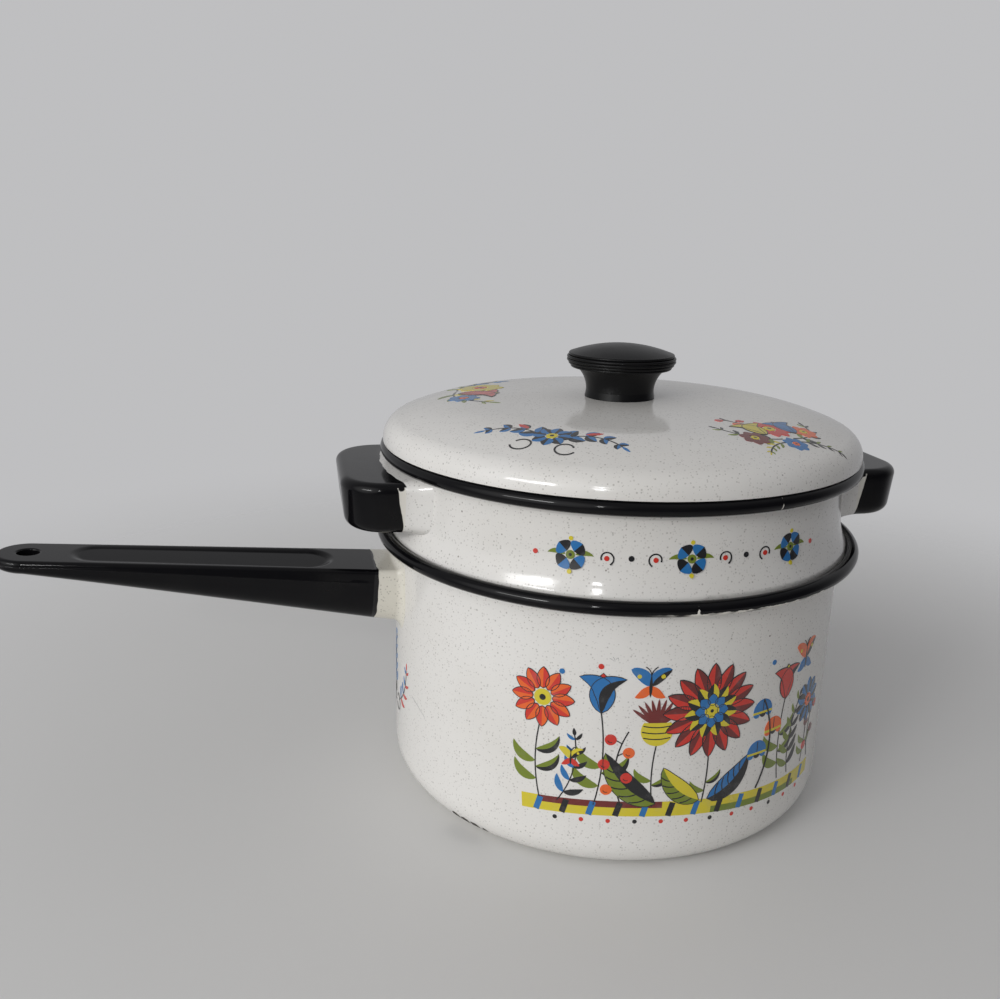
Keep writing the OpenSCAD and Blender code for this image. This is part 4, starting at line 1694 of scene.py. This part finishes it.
    def border(self) -> Transfer:
        """The border round the upper pan: small blossoms between pairs of tendrils."""
        wall = Wall(self.insert_r, self.border_start, self.border_z, self.insert_flare)
        draw = Transfer("border", "insert", wall)
        garden = Garden(draw)
        pitch = math.radians(360 / self.blossoms) * self.insert_r
        for number in filter(self.shown, range(self.blossoms)):
            x = pitch * number
            garden.daisy((x, 0), 5.2, 4, Ink.BLUE, Ink.GREEN, Ink.BLACK, start=45.0)
            for side in (1, -1):
                draw.level = 5
                draw.leaf(Ink.GREEN, (x + 1.6 * side, 0), (x + 7.2 * side, 0), 1.6, 0.14 * side)
                draw.dot(Ink.YELLOW, (x, 5.2 * side), 0.7)
                reach = x + 0.3 * pitch * side
                draw.dot(Ink.RED, (reach, -0.3), 0.8)
                if self.shown(number + side):
                    draw.ring(Ink.BLACK, (reach, -0.3), 1.7, 0.45, 90 + 110 * side, 90 - 150 * side, 0.3)
            if self.shown(number + 1):
                draw.dot(Ink.BLACK, (x + 0.5 * pitch, 0), 0.9)
        return draw

    def lid_wreath(self) -> Transfer:
        """The blue wreath at the front of the lid."""
        draw = Transfer("lid_wreath", "lid", Dome(-126.5, 67.5, 180.0), 1.22)
        garden = Garden(draw)
        for side in (1, -1):
            garden.fern((1.5 * side, -1), (19 * side, 1), 4, Ink.BLUE, Ink.BLUE, 0.22 * side,
                        Ink.BLACK, 0.72)
            draw.level = 4
            draw.leaf(Ink.RED, (8 * side, 4.5), (12 * side, 7), 1.7)
            draw.ring(Ink.BLACK, (6 * side, -5), 2.2, 0.5, 90 - 60 * side, 90 + 250 * side, 0.35)
        garden.daisy((0, 1), 5.6, 8, Ink.BLUE, Ink.YELLOW, Ink.BLACK)
        return draw

    def lid_posy_right(self) -> Transfer:
        """The posy on the right of the lid."""
        draw = Transfer("lid_posy_right", "lid", Dome(-56.0, 61.5, 165.0), 1.22)
        garden = Garden(draw)
        garden.fern((-2, -8), (-15, 3), 4, Ink.GREEN, Ink.BLACK, 0.2)
        garden.fern((2, -8), (15, 1), 4, Ink.GREEN, Ink.BLACK, -0.2)
        garden.tulip((-5, -5), 8.5, Ink.YELLOW, Ink.ORANGE, None)
        garden.tulip((6, -5), 8.0, Ink.BLUE, Ink.GREY, None)
        garden.daisy((0, -1), 6.0, 9, Ink.RED, Ink.YELLOW)
        garden.daisy((10, -4), 4.0, 7, Ink.ORANGE, Ink.YELLOW)
        garden.daisy((-10, -6), 4.2, 7, Ink.MAROON, Ink.YELLOW)
        garden.fern((3, -10), (13, -15), 4, Ink.GREEN, Ink.BLACK, 0.1)
        garden.fern((-3, -10), (-12, -14), 4, Ink.GREEN, Ink.YELLOW, -0.1)
        garden.daisy((0, -11), 3.6, 7, Ink.BLUE, Ink.ORANGE)
        garden.berries((-2, 2), (-6, 12), 3, Ink.RED, Ink.ORANGE, 1.2)
        return draw

    def lid_posy_left(self) -> Transfer:
        """The posy on the left of the lid, near its back."""
        draw = Transfer("lid_posy_left", "lid", Dome(153.0, 53.0, 190.0), 1.7)
        garden = Garden(draw)
        garden.fern((-1, -6), (-15, 2), 4, Ink.GREEN, Ink.BLUE, 0.2)
        garden.fern((1, -6), (15, 3), 4, Ink.YELLOW, Ink.GREEN, -0.2)
        garden.daisy((-4, -1), 5.5, 8, Ink.YELLOW, Ink.RED)
        garden.tulip((4, -5), 8.0, Ink.RED, Ink.YELLOW, None)
        garden.daisy((10, -3), 3.6, 7, Ink.BLUE, Ink.ORANGE)
        return draw

    def wear_scuff(self) -> Transfer:
        """A small scuff on the lower pan."""
        draw = Transfer("wear_scuff", "pan", Wall(self.pan_r, -106.5, 77.5))
        for start, end in (((-1.6, 0.4), (-0.2, -0.5)), ((-0.6, 1.0), (0.1, -0.6)),
                           ((0.3, 0.2), (1.1, 0.6)), ((0.9, 0.9), (1.2, -0.3))):
            draw.line(Ink.GREY, draw.arc(start, end, 0.1), 0.16, 0.6)
        return draw

    def wear_scratch(self) -> Transfer:
        """A fine scratch on the lower pan, beside the sprig."""
        draw = Transfer("wear_scratch", "pan", Wall(self.pan_r, -164.3, 40.5))
        draw.line(Ink.GREY, draw.arc((0, 0), (10.3, -3.7), 0.03), 0.14, 0.5)
        return draw

    def build(self) -> None:
        """Make every print."""
        inks = {ink: Print(f"ink_{ink.name.lower()}", ink.value).build() for ink in Ink}
        for draw in (self.pan_print, self.pan_sprig, self.border, self.lid_wreath, self.lid_posy_right,
                     self.lid_posy_left, self.wear_scuff, self.wear_scratch):
            draw().build(inks)


@dataclass(frozen=True)
class Lamp:
    """A rectangular soft lamp that faces the object.

    Attributes:
        name: Its name.
        azimuth: Direction from the object, in degrees from +X.
        rise: Height above the horizon, in degrees.
        size: Width and height, in metres.
        power: Power, in watts.
        reach: Distance from the object, in metres.
        target: Height of the point that it faces, in metres.
    """

    name: str
    azimuth: float
    rise: float
    size: tuple[float, float]
    power: float
    reach: float = 1.3
    target: float = 0.1

    def build(self) -> None:
        """Make the lamp."""
        data = bpy.data.lights.new(self.name, "AREA")
        data.shape, data.energy = "RECTANGLE", self.power
        data.size, data.size_y = self.size
        turn, lift = math.radians(self.azimuth), math.radians(self.rise)
        way = Vector((math.cos(turn) * math.cos(lift), math.sin(turn) * math.cos(lift), math.sin(lift)))
        lamp = bpy.data.objects.new(self.name, data)
        lamp.location = Vector((0, 0, self.target)) + way * self.reach
        lamp.rotation_euler = way.to_track_quat("Z", "Y").to_euler()
        bpy.context.scene.collection.objects.link(lamp)


@dataclass
class Studio:
    """Floor, light and the camera at the photograph's viewing angle.

    Attributes:
        eye: Camera's place, in metres.
        yaw: Turn of the view from +Y towards -X, in degrees.
        pitch: Look down, in degrees.
        roll: Turn of the picture about the view, in degrees.
        focal: Focal length in pixels of the photograph.
        front_left: Colour of the room before the object, on the left.
        front_right: Its colour on the right.
        back: Colour of the room behind the object.
        backdrop: Colour that the camera sees behind the object.
        behind: Where the back begins and is full, as the Y of the direction.
        above: The same for the ceiling, as its Z.
        ceiling: Share of the back's colour overhead.
        sides: X of the direction where the front's two colours are full.
        glow: Colour of the soft light that comes in from the left.
        glow_way: Its direction, as azimuth and elevation in degrees.
        glow_edge: Cosine of the turn from there at which it ends.
        lamps: The soft lamps.
        floor_half: Half the floor's width, in metres.
        floor_drop: How far it lies under the object's base, in metres.
        floor_pale: Its colour.
        fade: Distances from the object where it begins to fade and is gone, in mm.
    """

    eye: tuple[float, float, float] = (-0.1171, -0.3460, 0.2076)
    yaw: float = -11.862
    pitch: float = 15.819
    roll: float = -1.342
    focal: float = 982.6
    front_left: Colour = (0.17, 0.17, 0.18)
    front_right: Colour = (0.08, 0.08, 0.09)
    back: Colour = (0.40, 0.40, 0.41)
    backdrop: Colour = (0.52, 0.52, 0.53)
    behind: tuple[float, float] = (-0.3, 0.45)
    above: tuple[float, float] = (0.25, 0.9)
    ceiling: float = 0.8
    sides: float = 0.9
    glow: Colour = (1.6, 1.6, 1.6)
    glow_way: tuple[float, float] = (214.0, 20.0)
    glow_edge: float = 0.72
    lamps: tuple[Lamp, ...] = (Lamp("window_left", 208.0, 20.0, (0.26, 0.18), 1.3),
                               Lamp("window_middle", 220.0, 20.0, (0.24, 0.16), 2.6),
                               Lamp("spot_low", 246.0, 17.5, (0.05, 0.05), 0.5),
                               Lamp("spot_high", 246.0, 25.0, (0.06, 0.04), 0.5))
    floor_half: float = 3.0
    floor_drop: float = 0.0002
    floor_pale: Colour = (0.74, 0.735, 0.72)
    fade: tuple[float, float] = (170.0, 520.0)

    def camera(self) -> None:
        """Make the camera and set it as the scene's own."""
        yaw, pitch, roll = (math.radians(a) for a in (self.yaw, self.pitch, self.roll))
        look = Vector((math.sin(-yaw) * math.cos(pitch), math.cos(yaw) * math.cos(pitch),
                       -math.sin(pitch)))
        side = Vector((math.cos(yaw), math.sin(yaw), 0.0))
        down = look.cross(side)
        across = side * math.cos(roll) + down * math.sin(roll)
        under = down * math.cos(roll) - side * math.sin(roll)
        data = bpy.data.cameras.new("camera")
        data.sensor_fit, data.sensor_width = "HORIZONTAL", 36.0
        data.lens = data.sensor_width * self.focal / IMAGE_W
        data.clip_start = 0.01
        eye = bpy.data.objects.new("camera", data)
        turned = Matrix((across, -under, -look)).transposed().to_4x4()
        eye.matrix_world = Matrix.Translation(self.eye) @ turned
        bpy.context.scene.collection.objects.link(eye)
        bpy.context.scene.camera = eye

    def floor(self) -> None:
        """Lay a wide pale floor under the object, which fades into the backdrop far away."""
        mesh = bpy.data.meshes.new("floor")
        side = np.linspace(-self.floor_half, self.floor_half, 3)
        across, along = np.meshgrid(side, side, indexing="ij")
        points = np.stack([across, along, 0 * across - self.floor_drop], -1).reshape(-1, 3)
        mesh.from_pydata(points.tolist(), [], quads(*across.shape).tolist())
        tree = Tree(bpy.data.materials.new("pale_floor"))
        x, y, _ = tree.axes(tree.place())
        reach = (x * x + y * y).math("SQRT")
        mesh.materials.append(tree.finish(tree.add(
            "BsdfPrincipled", Base_Color=(*self.floor_pale, 1.0), Roughness=0.7,
            Alpha=1.0 - reach.ramp(*self.fade))))
        ground = bpy.data.objects.new("floor", mesh)
        bpy.context.scene.collection.objects.link(ground)

    def world(self) -> None:
        """Fill the room with pale light: brighter behind and above the object than before it."""
        world = bpy.data.worlds.new("room")
        tree = Tree(world)
        way = tree.add("SeparateXYZ", Vector=tree.wire(tree.add("TexCoord"), "Generated"))
        behind = tree.wire(way, "Y").ramp(*self.behind)
        above = tree.wire(way, "Z").ramp(*self.above) * self.ceiling
        left = tree.wire(way, "X").ramp(self.sides, -self.sides)
        front = tree.blend(left, self.front_right, self.front_left)
        room = tree.blend(behind.maximum(above), front, self.back)
        turn, lift = (math.radians(angle) for angle in self.glow_way)
        toward = (tree.wire(way, "X") * (math.cos(turn) * math.cos(lift))
                  + tree.wire(way, "Y") * (math.sin(turn) * math.cos(lift))
                  + tree.wire(way, "Z") * math.sin(lift))
        room = tree.blend(toward.ramp(self.glow_edge, 1.0), room, self.glow)
        seen = tree.wire(tree.add("LightPath"), "Is Camera Ray")
        back = tree.add("Background", Color=tree.blend(seen, room, self.backdrop), Strength=1.0)
        tree.add("OutputWorld", Surface=tree.wire(back))
        bpy.context.scene.world = world
        bpy.context.scene.view_settings.view_transform = "Standard"

    def build(self) -> None:
        """Set the whole studio up."""
        self.camera()
        for lamp in self.lamps:
            lamp.build()
        self.floor()
        self.world()


@dataclass
class Finishes:
    """The finishes of the CAD's own nodes and of the pieces that replace some."""

    white: Enamel = Enamel("white_enamel", chips=Chips((
        (-66.9, -45.2, 4.6, 2.0), (-64.6, -48.6, 4.2, 2.1), (-61.9, -52.2, 3.9, 2.2),
        (-59.0, -55.6, 3.7, 1.7), (-76.05, -31.97, 114.5, 0.6), (24.4, -79.4, 123.6, 0.5))))
    white_root: Enamel = Enamel("white_root", GripLine(), (0.76, 0.735, 0.665), (0.71, 0.68, 0.59))
    white_feet: Enamel = Enamel("white_feet", BlockLine())
    rim: Jet = Jet("black_rim", WornRim(96.4, 85.7, 0.95, nicks=((-91.0, 0.3),)))
    upper_rim: Jet = Jet("black_upper_rim", WornRim(127.3, 85.0, 9.0, nicks=((-73.5, 0.16),)))
    grip: Jet = Jet("black_grip", GripLine(), roughness=0.08, hollow=Hollow())
    block: Jet = Jet("black_block", BlockLine(), roughness=0.09,
                     peel=Relief(170.0, 2.0, 0.3, 0.00006))
    knob: Jet = Jet("black_phenolic", None, (0.006, 0.006, 0.0065), (0.011, 0.011, 0.0105),
                    roughness=0.28, shine=0.16, peel=Relief(260.0, 2.0, 0.3, 0.00002))
    steel: Metal = Metal("plated_steel", (0.50, 0.50, 0.49), (0.36, 0.35, 0.33))
    brass: Metal = Metal("brass", (0.62, 0.44, 0.18), (0.40, 0.28, 0.12))

    def dress(self) -> None:
        """Give every CAD node the finish of its slot, and each rim its own wear."""
        made = {Slot.WHITE: self.white.build(), Slot.BLACK: self.rim.build(),
                Slot.KNOB: self.knob.build(), Slot.STEEL: self.steel.build(),
                Slot.BRASS: self.brass.build()}
        own = {"insert_rim": self.upper_rim.build()}
        for part in frame["record"]["subparts"]:
            name = part["node"]
            node = frame["nodes"][name]
            node.data.materials.clear()
            node.data.materials.append(own.get(name) or made[Slot(part["material_slot"])])
            LOG.info("dressed %s", name)


def main() -> None:
    """Build the studio, dress the frame and make the pieces."""
    logging.basicConfig(level=logging.INFO)
    Studio().build()
    finishes = Finishes()
    finishes.dress()
    LongHandle().build(finishes.grip.build(), finishes.white_root.build())
    black, white = finishes.block.build(), finishes.white_feet.build()
    SideHandle("left", -1).build(black, white)
    SideHandle("right", 1).build(black, white)
    Prints().build()


if __name__ == "__main__":
    main()
